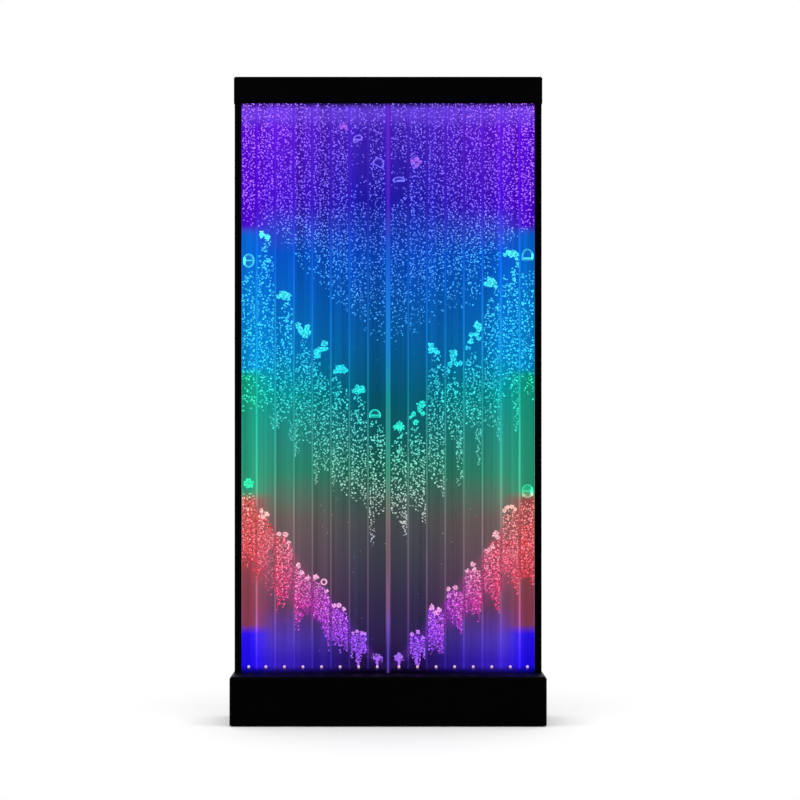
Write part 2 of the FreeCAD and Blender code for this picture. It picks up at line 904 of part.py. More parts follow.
def make_sill_legs():
    legs = []
    half_y = half_depth - sill_wall - sill_leg_gap
    half_x = sill_leg_width / 2
    top = sill_top - sill_wall
    for index in sill_leg_ribs:
        x = rib_x(index)
        upright = block(x - half_x, x + half_x, -half_y, half_y, floor_top, top)
        hollow = block(x - half_x + sill_leg_wall, x + half_x - sill_leg_wall, -half_y + sill_leg_wall,
                       half_y + overcut,
                       floor_top, top)
        foot = block(x - sill_leg_foot / 2, x + sill_leg_foot / 2, -half_y, half_y, floor_top,
                     floor_top + sill_leg_wall)
        legs.append(fuse_all([upright.cut(hollow), foot]))
    return both_sides(legs)


# Air rails, valves and lines
def rail_span():
    start = channel_middle(0) - rail_end_margin
    end = channel_middle(channels_per_tank - 1) + rail_end_margin
    return start, end


def make_air_rails():
    start, end = rail_span()
    bar = block(start, end, valve_offset - rail_depth / 2, valve_offset + rail_depth / 2, rail_bottom,
                rail_top)
    bar = bar.makeFillet(rail_edge, edges_along(bar, Vector(1, 0, 0)))
    front = valve_offset - rail_depth / 2
    x = rib_x(pump_rib)
    barb = rod(hose_barb_radius, Vector(x, front - hose_barb_length, rail_middle),
               Vector(x, front + overcut, rail_middle))
    return both_sides([fuse_all([bar, barb])])


def make_right_valves():
    valves = []
    body_top = rail_top + valve_body_height
    for index in range(channels_per_tank):
        x = channel_middle(index)
        half_x = valve_body_width / 2
        half_y = valve_body_depth / 2
        body = block(x - half_x, x + half_x, valve_offset - half_y, valve_offset + half_y, rail_top, body_top)
        coil = rod(valve_coil_radius, Vector(x, valve_offset, body_top), Vector(x, valve_offset, valve_top))
        barb = rod(barb_radius, Vector(x, valve_offset, valve_top),
                   Vector(x, valve_offset, valve_top + line_lead))
        valves.append(fuse_all([body, coil, barb]))
    return valves


def make_right_air_lines():
    points = [Vector(0, valve_offset, valve_top + line_end_gap),
              Vector(0, valve_offset, line_level),
              Vector(0, 0, line_level),
              Vector(0, 0, nozzle_flange_bottom - line_end_gap)]
    line = tube(points, line_bend, line_radius, barb_radius + line_clearance)
    return [line.translated(Vector(channel_middle(index), 0, 0)) for index in range(channels_per_tank)]


def make_rail_brackets():
    brackets = []
    back = valve_offset + rail_depth / 2
    for index in sill_leg_ribs:
        x = rib_x(index)
        half_x = rail_bracket_width / 2
        upright = block(x - half_x, x + half_x, back, back + rail_bracket_wall, floor_top, rail_top)
        foot = block(x - half_x, x + half_x, back, back + rail_bracket_foot, floor_top,
                     floor_top + rail_bracket_wall)
        brackets.append(fuse_all([upright, foot]))
    return both_sides(brackets)


# Pumps
def pump_bottom():
    return floor_top + pump_foot_height


def pump_back():
    return bay_middle + pump_width / 2


def make_right_pump():
    x = rib_x(pump_rib)
    bottom = pump_bottom()
    top = bottom + pump_height
    body = block(x - pump_length / 2, x + pump_length / 2, bay_middle - pump_width / 2, pump_back(),
                 bottom, top)
    upright = edges_along(body, Vector(0, 0, 1))
    body = body.makeFillet(pump_corner, upright)
    rim = [edge for edge in body.Edges if abs(edge.CenterOfMass.z - top) < 1e-6]
    body = body.makeFillet(pump_corner / 2, rim)
    grooves = []
    inside = pump_width / 2 - pump_corner * 1.5
    pitch = (pump_length - 4 * pump_corner) / (pump_groove_count - 1)
    for index in range(pump_groove_count):
        groove_x = x - pump_length / 2 + 2 * pump_corner + index * pitch
        grooves.append(block(groove_x - pump_groove_width / 2, groove_x + pump_groove_width / 2,
                             bay_middle - inside,
                             bay_middle + inside, top - pump_groove_depth, top + overcut))
    body = cut_all(body, grooves)
    barb = rod(hose_barb_radius, Vector(x, pump_back() - overcut, rail_middle),
               Vector(x, pump_back() + hose_barb_length, rail_middle))
    return fuse_all([body, barb])


def make_pump_feet():
    x = rib_x(pump_rib)
    feet = []
    for along in (-1, 1):
        for across in (-1, 1):
            foot_x = x + along * (pump_length / 2 - pump_foot_inset)
            foot_y = bay_middle + across * (pump_width / 2 - pump_foot_inset)
            feet.append(rod(pump_foot_radius, Vector(foot_x, foot_y, floor_top),
                            Vector(foot_x, foot_y, pump_bottom())))
    return both_sides(feet)


def make_pump_hoses():
    x = rib_x(pump_rib)
    start = Vector(x, pump_back() + line_end_gap, rail_middle)
    end = Vector(x, valve_offset - rail_depth / 2 - line_end_gap, rail_middle)
    return both_sides([ring(hose_radius, hose_barb_radius + line_clearance, start, end)])


# Drain
def make_drain_fittings():
    x = drain_x()
    flange_bottom = tank_bottom - drain_port_flange
    shank = rod(drain_port_radius, Vector(x, 0, tank_bottom), Vector(x, 0, tank_bottom + drain_port_depth))
    flange = rod(nozzle_flange_radius, Vector(x, 0, flange_bottom), Vector(x, 0, tank_bottom))
    barb = rod(drain_barb_radius, Vector(x, 0, flange_bottom - drain_barb_length),
               Vector(x, 0, flange_bottom))
    bore = rod(drain_barb_radius / 2, Vector(x, 0, flange_bottom - drain_barb_length - overcut),
               Vector(x, 0, tank_bottom + drain_port_depth + overcut))
    port = fuse_all([shank, flange, barb]).cut(bore)
    reach = drain_tee_half + drain_barb_length
    body = [rod(drain_tee_radius, Vector(-drain_tee_half, 0, drain_tee_z),
                Vector(drain_tee_half, 0, drain_tee_z)),
            rod(drain_tee_radius, Vector(0, 0, drain_tee_z), Vector(0, drain_tee_half, drain_tee_z)),
            rod(drain_barb_radius, Vector(-reach, 0, drain_tee_z), Vector(reach, 0, drain_tee_z)),
            rod(drain_barb_radius, Vector(0, 0, drain_tee_z), Vector(0, reach, drain_tee_z))]
    far = reach + overcut
    bores = [rod(drain_barb_radius / 2, Vector(-far, 0, drain_tee_z), Vector(far, 0, drain_tee_z)),
             rod(drain_barb_radius / 2, Vector(0, 0, drain_tee_z), Vector(0, far, drain_tee_z))]
    tee = cut_all(fuse_all(body), bores)
    return both_sides([port]) + [tee]


def make_drain_hoses():
    x = drain_x()
    inner = drain_barb_radius + line_clearance
    tee_face = drain_tee_half + line_end_gap
    side = [Vector(x, 0, tank_bottom - drain_port_flange - line_end_gap),
            Vector(x, 0, drain_tee_z),
            Vector(tee_face, 0, drain_tee_z)]
    down_y = (drain_tee_half + drain_neck_face) / 2
    down = [Vector(0, tee_face, drain_tee_z),
            Vector(0, down_y, drain_tee_z),
            Vector(0, down_y, drain_z),
            Vector(0, drain_neck_face - line_end_gap, drain_z)]
    hoses = both_sides([tube(side, drain_side_bend, drain_hose_radius, inner)])
    return hoses + [tube(down, drain_down_bend, drain_hose_radius, inner)]


def make_drain_valve():
    inner_flange = panel_front - drain_flange_thickness
    outer_flange = panel_back + drain_flange_thickness
    spout_end = half_base_depth - drain_spout_inset
    boss_top = drain_z + drain_boss_height
    pieces = [
        rod(drain_neck_radius, Vector(0, drain_neck_face, drain_z), Vector(0, drain_ball_y, drain_z)),
        rod(drain_barb_radius, Vector(0, drain_neck_face - drain_barb_length, drain_z),
            Vector(0, drain_neck_face, drain_z)),
        rod(drain_flange_radius, Vector(0, inner_flange, drain_z), Vector(0, panel_front, drain_z)),
        rod(drain_flange_radius, Vector(0, panel_back, drain_z), Vector(0, outer_flange, drain_z)),
        Part.makeSphere(drain_ball_radius, Vector(0, drain_ball_y, drain_z)),
        rod(drain_spout_radius, Vector(0, drain_ball_y, drain_z), Vector(0, spout_end, drain_z)),
        rod(drain_boss_radius, Vector(0, drain_ball_y, drain_z), Vector(0, drain_ball_y, boss_top)),
    ]
    body = fuse_all(pieces)
    bore_start = drain_ball_y + drain_ball_radius / 2
    bore = rod(drain_spout_radius * 0.6, Vector(0, bore_start, drain_z),
               Vector(0, spout_end + overcut, drain_z))
    stem_hole = rod(drain_stem_radius + drain_stem_clearance,
                    Vector(0, drain_ball_y, boss_top - drain_stem_depth - drain_lever_gap),
                    Vector(0, drain_ball_y, boss_top + overcut))
    return cut_all(body, [bore, stem_hole])


def make_drain_lever():
    bottom = drain_z + drain_boss_height + drain_lever_gap
    top = bottom + drain_lever_thickness
    half = drain_lever_width / 2
    arm = block(0, drain_lever_length - half, drain_ball_y - half, drain_ball_y + half, bottom, top)
    hub = rod(half, Vector(0, drain_ball_y, bottom), Vector(0, drain_ball_y, top))
    tip_x = drain_lever_length - half
    tip = rod(half, Vector(tip_x, drain_ball_y, bottom), Vector(tip_x, drain_ball_y, top))
    plate = fuse_all([arm, hub, tip])
    rim = [edge for edge in plate.Edges if abs(edge.CenterOfMass.z - top) < 1e-6]
    plate = plate.makeFillet(drain_lever_thickness / 3, rim)
    stem = rod(drain_stem_radius, Vector(0, drain_ball_y, bottom - drain_stem_depth),
               Vector(0, drain_ball_y, bottom))
    return fuse_all([plate, stem])


# Power inlet and switch
def make_power_inlet():
    x = rib_x(inlet_rib)
    z = inlet_height
    front = panel_back - inlet_body_depth
    face = panel_back + inlet_flange_thickness
    half_length = inlet_flange_length / 2
    half_height = inlet_flange_height / 2
    flange = block(x - half_length, x + half_length, panel_back, face, z - half_height, z + half_height)
    flange = flange.makeFillet(half_height / 2, edges_along(flange, Vector(0, 1, 0)))
    body = block(x - inlet_body_length / 2, x + inlet_body_length / 2, front, panel_back,
                 z - inlet_body_height / 2,
                 z + inlet_body_height / 2)
    solid = fuse_all([flange, body])
    half_mouth = inlet_body_length / 2 - inlet_wall
    half_tall = inlet_body_height / 2 - inlet_wall
    floor = front + inlet_back_wall
    corners = [Vector(x - half_mouth, floor, z + half_tall), Vector(x + half_mouth, floor, z + half_tall),
               Vector(x + half_mouth, floor, z - half_tall + inlet_key),
               Vector(x + half_mouth - inlet_key, floor, z - half_tall),
               Vector(x - half_mouth + inlet_key, floor, z - half_tall),
               Vector(x - half_mouth, floor, z - half_tall + inlet_key),
               Vector(x - half_mouth, floor, z + half_tall)]
    mouth = Part.Face(Part.makePolygon(corners)).extrude(Vector(0, face - floor + overcut, 0))
    cuts = [mouth]
    for screw_x, screw_z in inlet_screw_places():
        cuts.append(rod(panel_screw_radius + screw_clearance / 2,
                        Vector(screw_x, panel_back - overcut, screw_z),
                        Vector(screw_x, face + overcut, screw_z)))
    solid = cut_all(solid, cuts)
    pins = []
    for offset in (-1, 0, 1):
        pin_x = x + offset * inlet_pin_pitch
        pin_z = z - inlet_pin_height / 2 + (1 - abs(offset)) * inlet_pin_height / 2
        pins.append(block(pin_x - inlet_pin_width / 2, pin_x + inlet_pin_width / 2, floor - overcut,
                          floor + inlet_pin_length, pin_z - inlet_pin_height / 2,
                          pin_z + inlet_pin_height / 2))
    return fuse_all([solid] + pins)


def rocker_pivot_y():
    return panel_back + switch_bezel_thickness / 2


def make_switch_housing():
    x = rib_x(switch_rib)
    z = inlet_height
    face = panel_back + switch_bezel_thickness
    bezel = block(x - switch_bezel_width / 2, x + switch_bezel_width / 2, panel_back, face,
                  z - switch_bezel_height / 2, z + switch_bezel_height / 2)
    bezel = bezel.makeFillet(switch_bezel_thickness / 2, edges_along(bezel, Vector(0, 1, 0)))
    body = block(x - switch_body_width / 2, x + switch_body_width / 2, panel_back - switch_body_depth,
                 panel_back,
                 z - switch_body_height / 2, z + switch_body_height / 2)
    half_width = switch_body_width / 2 - switch_wall
    half_tall = switch_body_height / 2 - switch_wall
    cavity = block(x - half_width, x + half_width, face - switch_cavity_depth, face + overcut,
                   z - half_tall, z + half_tall)
    pin_reach = half_width - rocker_side_clearance + rocker_pin_length + rocker_pin_clearance
    pin_hole = rod(rocker_pin_radius + rocker_pin_clearance, Vector(x - pin_reach, rocker_pivot_y(), z),
                   Vector(x + pin_reach, rocker_pivot_y(), z))
    return cut_all(fuse_all([bezel, body]), [cavity, pin_hole])


def make_switch_rocker():
    x = rib_x(switch_rib)
    z = inlet_height
    half_width = switch_body_width / 2 - switch_wall - rocker_side_clearance
    half_tall = switch_body_height / 2 - switch_wall - rocker_end_clearance
    pivot = rocker_pivot_y()
    rise = half_tall * math.tan(math.radians(rocker_swing))
    outer = pivot + rocker_proud
    inner = outer - rocker_thickness
    outline = [Vector(x - half_width, outer + rise, z - half_tall), Vector(x - half_width, outer, z),
               Vector(x - half_width, outer + rise, z + half_tall),
               Vector(x - half_width, inner, z + half_tall),
               Vector(x - half_width, inner, z - half_tall),
               Vector(x - half_width, outer + rise, z - half_tall)]
    paddle = Part.Face(Part.makePolygon(outline)).extrude(Vector(2 * half_width, 0, 0))
    pin_reach = half_width + rocker_pin_length
    pin = rod(rocker_pin_radius, Vector(x - pin_reach, pivot, z), Vector(x + pin_reach, pivot, z))
    rocker = fuse_all([paddle, pin])
    rocker.rotate(Vector(x, pivot, z), Vector(1, 0, 0), rocker_swing)
    return rocker


# Controller, power supply and leads
def board_bottom():
    return floor_top + standoff_height


def make_board():
    z = board_bottom()
    return block(-board_length / 2, board_length / 2, bay_middle - board_width / 2,
                 bay_middle + board_width / 2, z,
                 z + board_thickness)


def make_standoffs():
    x = board_length / 2 - standoff_inset
    posts = []
    for sign in (-1, 1):
        y = bay_middle + sign * (board_width / 2 - standoff_inset)
        posts.append(rod(standoff_radius, Vector(x, y, floor_top), Vector(x, y, board_bottom())))
    return both_sides(posts)


def terminal_back():
    return bay_middle + board_width / 2 - standoff_inset


def make_board_parts():
    z = board_bottom() + board_thickness
    parts = []
    x = board_length / 2 - standoff_inset
    terminal = block(x - terminal_length, x, terminal_back() - terminal_width, terminal_back(), z,
                     z + terminal_height)
    parts += both_sides([terminal])
    side = block(board_length / 2 - terminal_width, board_length / 2, bay_middle - terminal_length / 2,
                 bay_middle, z, z + terminal_height)
    parts.append(side)
    half = chip_block / 2
    parts.append(block(-half, half, bay_middle - half, bay_middle + half, z, z + chip_block_height))
    pitch = board_length / 2 / capacitor_count
    for index in range(capacitor_count):
        cap_x = -board_length / 2 + pitch * (index + 0.5)
        cap_y = bay_middle - board_width / 2 + capacitor_radius * 2
        parts.append(rod(capacitor_radius, Vector(cap_x, cap_y, z),
                         Vector(cap_x, cap_y, z + capacitor_height)))
    pitch = (board_length - 2 * terminal_length) / driver_count * 2
    for index in range(driver_count // 2):
        driver_x = chip_block + pitch * index
        driver_y = bay_middle - board_width / 2 + driver_width
        parts.append(block(driver_x, driver_x + driver_width, driver_y, driver_y + driver_thickness, z,
                           z + driver_height))
    return parts


def supply_start():
    return board_length / 2 + supply_gap


def make_supply():
    x0 = supply_start()
    x1 = x0 + supply_length
    y0 = bay_middle - supply_width / 2
    y1 = bay_middle + supply_width / 2
    top = floor_top + supply_height
    case = block(x0, x1, y0, y1, floor_top, top)
    pitch = supply_length / (supply_slot_count + 1)
    slots = []
    for index in range(supply_slot_count):
        x = x0 + pitch * (index + 1)
        slots.append(block(x - supply_slot_width / 2, x + supply_slot_width / 2, y0 + supply_width / 5,
                           y1 - supply_width / 5, top - supply_wall, top + overcut))
    return cut_all(case, slots)


def make_leads():
    bottom, top = light_span()
    strip_x = post_inner - lead_radius - strip_clearance
    turn_x = sill_half - lead_turn_in
    end_x = board_length / 2 - standoff_inset - terminal_length / 2
    z = board_bottom() + board_thickness + terminal_height / 2
    level = z
    light = tube([Vector(strip_x, 0, bottom - strip_clearance), Vector(strip_x, 0, level),
                  Vector(turn_x, 0, level), Vector(turn_x, -lead_lane, level),
                  Vector(end_x, -lead_lane, level), Vector(end_x, terminal_back(), level)],
                 lead_bend, lead_radius)
    leads = both_sides([light])
    x = rib_x(inlet_rib)
    supply_back = bay_middle + supply_width / 2
    down_y = -half_depth
    entry = floor_top + supply_height - lead_radius * 3
    leads.append(tube([Vector(x, panel_back - inlet_body_depth, inlet_height),
                       Vector(x, down_y, inlet_height),
                       Vector(x, down_y, entry), Vector(x, supply_back, entry)], lead_bend, lead_radius))
    side_y = bay_middle - terminal_length / 4
    leads.append(rod(lead_radius, Vector(board_length / 2, side_y, z), Vector(supply_start(), side_y, z)))
    return leads


# Build and export every piece
export("base_cabinet", make_cabinet())
export("base_floor", make_floor())
export("foot_pads", make_feet())
export("foot_screws", make_foot_screws())
export("rear_panel", make_rear_panel())
export("rear_panel_screws", make_panel_screws())

right_post = make_right_post()
export("right_post", right_post)
export("left_post", mirrored(right_post))
export("post_brackets", make_post_brackets())
export("post_bolts", make_post_bolts())
export("header_rails", make_header_rails())
export("header_screws", both_sides(right_header_screws(0)))
export("post_gaskets", make_gaskets())
export("top_cap", make_cap())

right_strip = make_right_strip()
export("right_led_strip", right_strip)
export("left_led_strip", mirrored(right_strip))
right_chips = make_right_chips()
export("right_led_chips", right_chips)
export("left_led_chips", [mirrored(chip) for chip in right_chips])
export("led_diffusers", make_diffusers())

right_front_sheet = make_right_front_sheet()
export("right_front_sheet", right_front_sheet)
export("left_front_sheet", mirrored(right_front_sheet))
right_back_sheet = make_right_back_sheet()
export("right_back_sheet", right_back_sheet)
export("left_back_sheet", mirrored(right_back_sheet))
right_ribs = make_right_ribs()
export("right_ribs", right_ribs)
export("left_ribs", [mirrored(rib) for rib in right_ribs])
right_end_walls = make_right_end_walls()
export("right_end_walls", right_end_walls)
export("left_end_walls", [mirrored(wall) for wall in right_end_walls])
right_nozzle_bar = make_right_nozzle_bar()
export("right_nozzle_bar", right_nozzle_bar)
export("left_nozzle_bar", mirrored(right_nozzle_bar))
export("seam_strip", make_seam_strip())
right_nozzles = make_right_nozzles()
export("right_nozzles", right_nozzles)
export("left_nozzles", [mirrored(nozzle) for nozzle in right_nozzles])
export("nozzle_seals", make_nozzle_seals())
right_water = make_right_water()
export("right_water", right_water)
export("left_water", [mirrored(column) for column in right_water])

export("tank_sill", make_sill())
export("sill_pad", make_sill_pad())
export("sill_legs", make_sill_legs())

export("air_rails", make_air_rails())
export("rail_brackets", make_rail_brackets())
right_valves = make_right_valves()
export("right_valves", right_valves)
export("left_valves", [mirrored(valve) for valve in right_valves])
right_air_lines = make_right_air_lines()
export("right_air_lines", right_air_lines)
export("left_air_lines", [mirrored(line) for line in right_air_lines])
right_pump = make_right_pump()
export("right_pump", right_pump)
export("left_pump", mirrored(right_pump))
export("pump_feet", make_pump_feet())
export("pump_hoses", make_pump_hoses())

export("drain_fittings", make_drain_fittings())
export("drain_hoses", make_drain_hoses())
export("drain_valve", make_drain_valve())
export("drain_lever", make_drain_lever())

export("power_inlet", make_power_inlet())
export("switch_housing", make_switch_housing())
export("switch_rocker", make_switch_rocker())
export("power_supply", make_supply())
export("controller_board", make_board())
export("board_standoffs", make_standoffs())
export("board_parts", make_board_parts())
export("inner_leads", make_leads())
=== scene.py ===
# %% [markdown]
# # A free-standing bubble wall
# The wall is a slim black frame round two tall tanks of clear acrylic. Air rises in sixteen narrow
# channels, and light strips in the posts colour the bubbles in bands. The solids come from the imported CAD
# model and are never moved here. This file gives them their finishes and adds what only the eye needs: the
# bubbles, the light, a floor and a camera.

# %% Load the frame
import json
import math
import random

import bmesh
import bpy
from mathutils import Matrix, Vector


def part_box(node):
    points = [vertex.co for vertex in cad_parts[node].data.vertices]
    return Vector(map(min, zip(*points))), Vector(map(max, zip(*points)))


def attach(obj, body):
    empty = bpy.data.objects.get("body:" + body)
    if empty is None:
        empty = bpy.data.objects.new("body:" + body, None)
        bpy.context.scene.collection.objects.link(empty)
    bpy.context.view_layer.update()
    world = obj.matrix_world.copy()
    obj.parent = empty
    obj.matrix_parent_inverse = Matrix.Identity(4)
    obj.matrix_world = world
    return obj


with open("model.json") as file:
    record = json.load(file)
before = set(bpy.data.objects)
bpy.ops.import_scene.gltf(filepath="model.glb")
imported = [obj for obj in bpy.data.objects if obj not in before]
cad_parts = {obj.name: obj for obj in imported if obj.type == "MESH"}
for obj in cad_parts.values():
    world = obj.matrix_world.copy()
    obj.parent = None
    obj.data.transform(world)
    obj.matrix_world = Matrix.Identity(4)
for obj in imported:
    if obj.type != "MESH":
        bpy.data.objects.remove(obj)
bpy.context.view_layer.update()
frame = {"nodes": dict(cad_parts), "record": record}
nodes = frame["nodes"]
scene = bpy.context.scene
scene.view_settings.view_transform = "Standard"

# %% [markdown]
# ## The camera
# The photograph looks straight at the front, level and from far away. A camera could be tilted to frame the
# whole height, but then the posts would lean, so the lens is shifted instead, as on a view camera.

# %% Camera
camera_distance = 5.925
camera_height = 0.795
image_side = 800
lens_pixels = 2071.0
sensor_width = 36.0
principal_point = (388.1, 443.1)

camera_data = bpy.data.cameras.new("front_camera")
camera_data.sensor_width = sensor_width
camera_data.lens = lens_pixels / image_side * sensor_width
camera_data.shift_x = 0.5 - principal_point[0] / image_side
camera_data.shift_y = principal_point[1] / image_side - 0.5
camera = bpy.data.objects.new("front_camera", camera_data)
camera.location = (0.0, -camera_distance, camera_height)
camera.rotation_euler = (math.pi / 2, 0.0, 0.0)
scene.collection.objects.link(camera)
scene.camera = camera
print("lens", round(camera_data.lens, 2), "shift", round(camera_data.shift_x, 4),
      round(camera_data.shift_y, 4))

# %% [markdown]
# ## Small helpers for materials
# Every finish is a tree of shader nodes that ends in one Principled shader. These helpers only save typing:
# they make a node in the tree that its inputs belong to, and join them. Patterns are laid out in the object's
# own coordinates, which stay fixed to the part.

# %% Nodes and sockets
def add_node(tree, kind, **settings):
    node = tree.nodes.new(kind)
    for key, value in settings.items():
        setattr(node, key, value)
    return node


def is_socket(source):
    return hasattr(source, "is_output")


def tree_of(*sources):
    return next(source.id_data for source in sources if is_socket(source))


def set_inputs(node, inputs):
    for key, source in inputs.items():
        if is_socket(source):
            node.id_data.links.new(source, node.inputs[key])
        else:
            node.inputs[key].default_value = source


def new_finish(name):
    material = bpy.data.materials.new(name)
    material.use_nodes = True
    return material, material.node_tree.nodes["Principled BSDF"]


def shine(shader, glow, base, rough):
    """Make a surface give light of its own."""
    set_inputs(shader, {"Emission Color": glow, "Emission Strength": 1.0, "Base Color": base,
                        "Roughness": rough})


def own_place(shader):
    return add_node(shader.id_data, "ShaderNodeTexCoord").outputs["Object"]


def axes_of(vector):
    split = add_node(vector.id_data, "ShaderNodeSeparateXYZ")
    set_inputs(split, {0: vector})
    return split.outputs


print("node helpers ready")

# %% [markdown]
# A second set does sums, mixes colours and makes noise. `remap` takes a value from one range to another,
# `ease` does so with soft ends, and `spread` for the usual range of a noise.

# %% Sums, colours and grain
noise_range = (0.3, 0.7)
even = (1.0, 1.0, 1.0)


def calculate(operation, first, second=0.0):
    node = add_node(tree_of(first, second), "ShaderNodeMath", operation=operation)
    set_inputs(node, {0: first, 1: second})
    return node.outputs[0]


def product(first, *others):
    for other in others:
        first = calculate("MULTIPLY", first, other)
    return first


def remap(value, low, high, new_low=0.0, new_high=1.0, shape="LINEAR"):
    node = add_node(value.id_data, "ShaderNodeMapRange", interpolation_type=shape)
    set_inputs(node, {"Value": value, "From Min": low, "From Max": high, "To Min": new_low,
                      "To Max": new_high})
    return node.outputs["Result"]


def ease(value, *bounds):
    return remap(value, *bounds, shape="SMOOTHSTEP")


def spread(noise, low, high):
    return remap(noise, *noise_range, low, high)


def mix_colours(factor, first, second, blend="MIX"):
    node = add_node(tree_of(factor, first, second), "ShaderNodeMix", data_type="RGBA", blend_type=blend)
    set_inputs(node, {0: factor, 6: first, 7: second})
    return node.outputs[2]


def at_level(colour, level):
    return mix_colours(1.0, colour, level, "MULTIPLY")


def grain(place, stretch, scale, detail=3.0):
    mapping = add_node(place.id_data, "ShaderNodeMapping")
    set_inputs(mapping, {"Vector": place, "Scale": stretch})
    noise = add_node(place.id_data, "ShaderNodeTexNoise")
    set_inputs(noise, {"Vector": mapping.outputs["Vector"], "Scale": scale, "Detail": detail})
    return noise.outputs["Fac"]


print("sums, colours and grain ready")

# %% [markdown]
# ## The coloured light
# Strips in both posts shine sideways into the acrylic in five zones, one above the other: violet, blue,
# green, red and deep blue at the foot. At the posts the zones are clear. Towards the seam the beams have
# spread into each other, so the colours soften, dim and turn grey. Lamps behind the sheets could do this, but
# a glow that depends on height and on distance from the post is exact and free of noise. Each zone gets the
# colour at its lower and at its upper end, for the post side, the middle of a tank and the seam.

# %% Light zones
zone_edges = (0.144, 0.262, 0.645, 1.000, 1.405, 1.757)
side_light = {
    "foot": ((0.011, 0.002, 0.83), (0.024, 0.005, 0.95)),
    "red": ((0.25, 0.045, 0.086), (0.32, 0.075, 0.075)),
    "green": ((0.026, 0.31, 0.17), (0.003, 0.29, 0.20)),
    "blue": ((0.001, 0.22, 0.53), (0.001, 0.120, 0.63)),
    "violet": ((0.060, 0.001, 0.56), (0.095, 0.002, 0.62)),
}
middle_light = {
    "foot": ((0.040, 0.013, 0.53), (0.086, 0.040, 0.50)),
    "red": ((0.15, 0.047, 0.12), (0.172, 0.122, 0.115)),
    "green": ((0.034, 0.27, 0.165), (0.001, 0.28, 0.28)),
    "blue": ((0.001, 0.195, 0.56), (0.001, 0.088, 0.58)),
    "violet": ((0.055, 0.003, 0.57), (0.108, 0.006, 0.64)),
}
seam_light = {
    "foot": ((0.014, 0.004, 0.060), (0.026, 0.014, 0.080)),
    "red": ((0.036, 0.026, 0.074), (0.062, 0.068, 0.074)),
    "green": ((0.008, 0.112, 0.077), (0.001, 0.098, 0.155)),
    "blue": ((0.001, 0.098, 0.30), (0.001, 0.057, 0.45)),
    "violet": ((0.012, 0.009, 0.37), (0.045, 0.012, 0.45)),
}
print("light zones:", ", ".join(side_light))

# %% [markdown]
# A ramp along the height is made from each set of zones, with a narrow blend at the posts and a wide one at
# the seam, and the three ramps are mixed by the distance from the seam. Just under the water's surface the
# light is paler, and the nozzle bar and the cap shade the two ends.

# %% Light across the wall
light_bottom = 0.14
light_top = 1.77
tank_half_width = 0.424
inner_shares = (0.22, 0.74)
outer_shares = (0.74, 0.96)
side_blend = 0.025
middle_blend = 0.130
seam_blend = 0.160
surface_light = (0.150, 0.055, 0.76, 1)
surface_range = (1.690, 1.735, 0.0, 0.65)
foot_shade_range = (0.146, 0.158, 0.45, 1.0)
cap_shade_range = (1.750, 1.768, 1.0, 0.15)


def height_ramp(height, zones, blend):
    stops = []
    for low, high, (lower, upper) in zip(zone_edges, zone_edges[1:], zones.values()):
        inset = min(blend, 0.5 * (high - low)) / 2
        stops += [(low + inset, lower), (high - inset, upper)]
    ramp = add_node(height.id_data, "ShaderNodeValToRGB")
    points = ramp.color_ramp.elements
    while len(points) < len(stops):
        points.new(0.5)
    for point, (z, colour) in zip(points, stops):
        point.position = (z - light_bottom) / (light_top - light_bottom)
        point.color = (*colour, 1.0)
    set_inputs(ramp, {0: remap(height, light_bottom, light_top)})
    return ramp.outputs["Color"]


def band_light(across, height, side, middle, seam):
    from_seam = remap(calculate("ABSOLUTE", across), 0.0, tank_half_width)
    inner = remap(from_seam, *inner_shares)
    outer = ease(from_seam, *outer_shares)
    at_seam = height_ramp(height, seam, seam_blend)
    at_middle = height_ramp(height, middle, middle_blend)
    at_side = height_ramp(height, side, side_blend)
    return mix_colours(outer, mix_colours(inner, at_seam, at_middle), at_side)


def sheet_light(across, height):
    bands = band_light(across, height, side_light, middle_light, seam_light)
    return mix_colours(ease(height, *surface_range), bands, surface_light)


def end_shade(height):
    foot = ease(height, *foot_shade_range)
    return product(foot, ease(height, *cap_shade_range))


print("light from z", light_bottom, "to", light_top)

# %% [markdown]
# Bubbles catch more light than the sheets, so they have lighter colours in the same zones. Their waves climb
# from the seam to the posts, and light what is around them. Each wave's top and end are given as a height at
# the seam and a climb, and `in_wave` says how deep a place lies between them.

# %% Light of the bubbles
side_sparkle = {
    "foot": ((0.25, 0.06, 1.00), (0.40, 0.05, 0.80)),
    "red": ((0.82, 0.028, 0.055), (0.85, 0.10, 0.10)),
    "green": ((0.030, 0.85, 0.45), (0.030, 0.84, 0.45)),
    "blue": ((0.030, 0.62, 0.97), (0.040, 0.55, 1.00)),
    "violet": ((0.42, 0.13, 1.00), (0.45, 0.16, 1.00)),
}
middle_sparkle = {
    "foot": ((0.42, 0.06, 0.90), (0.55, 0.05, 0.75)),
    "red": ((0.87, 0.040, 0.19), (0.80, 0.10, 0.12)),
    "green": ((0.10, 0.52, 0.36), (0.030, 0.64, 0.64)),
    "blue": ((0.030, 0.58, 0.96), (0.040, 0.45, 1.00)),
    "violet": ((0.24, 0.11, 1.00), (0.35, 0.12, 1.00)),
}
seam_sparkle = {
    "foot": ((0.32, 0.09, 0.88), (0.28, 0.05, 0.90)),
    "red": ((0.27, 0.035, 0.96), (0.42, 0.48, 0.44)),
    "green": ((0.24, 0.58, 0.48), (0.050, 0.62, 0.68)),
    "blue": ((0.030, 0.34, 0.82), (0.070, 0.27, 0.92)),
    "violet": ((0.13, 0.15, 0.92), (0.22, 0.13, 0.92)),
}
young_wave = {"top": (0.140, 1.255), "end": (0.151, 0.672)}
half_way_wave = {"top": (0.800, 1.350), "end": (0.600, 0.720)}


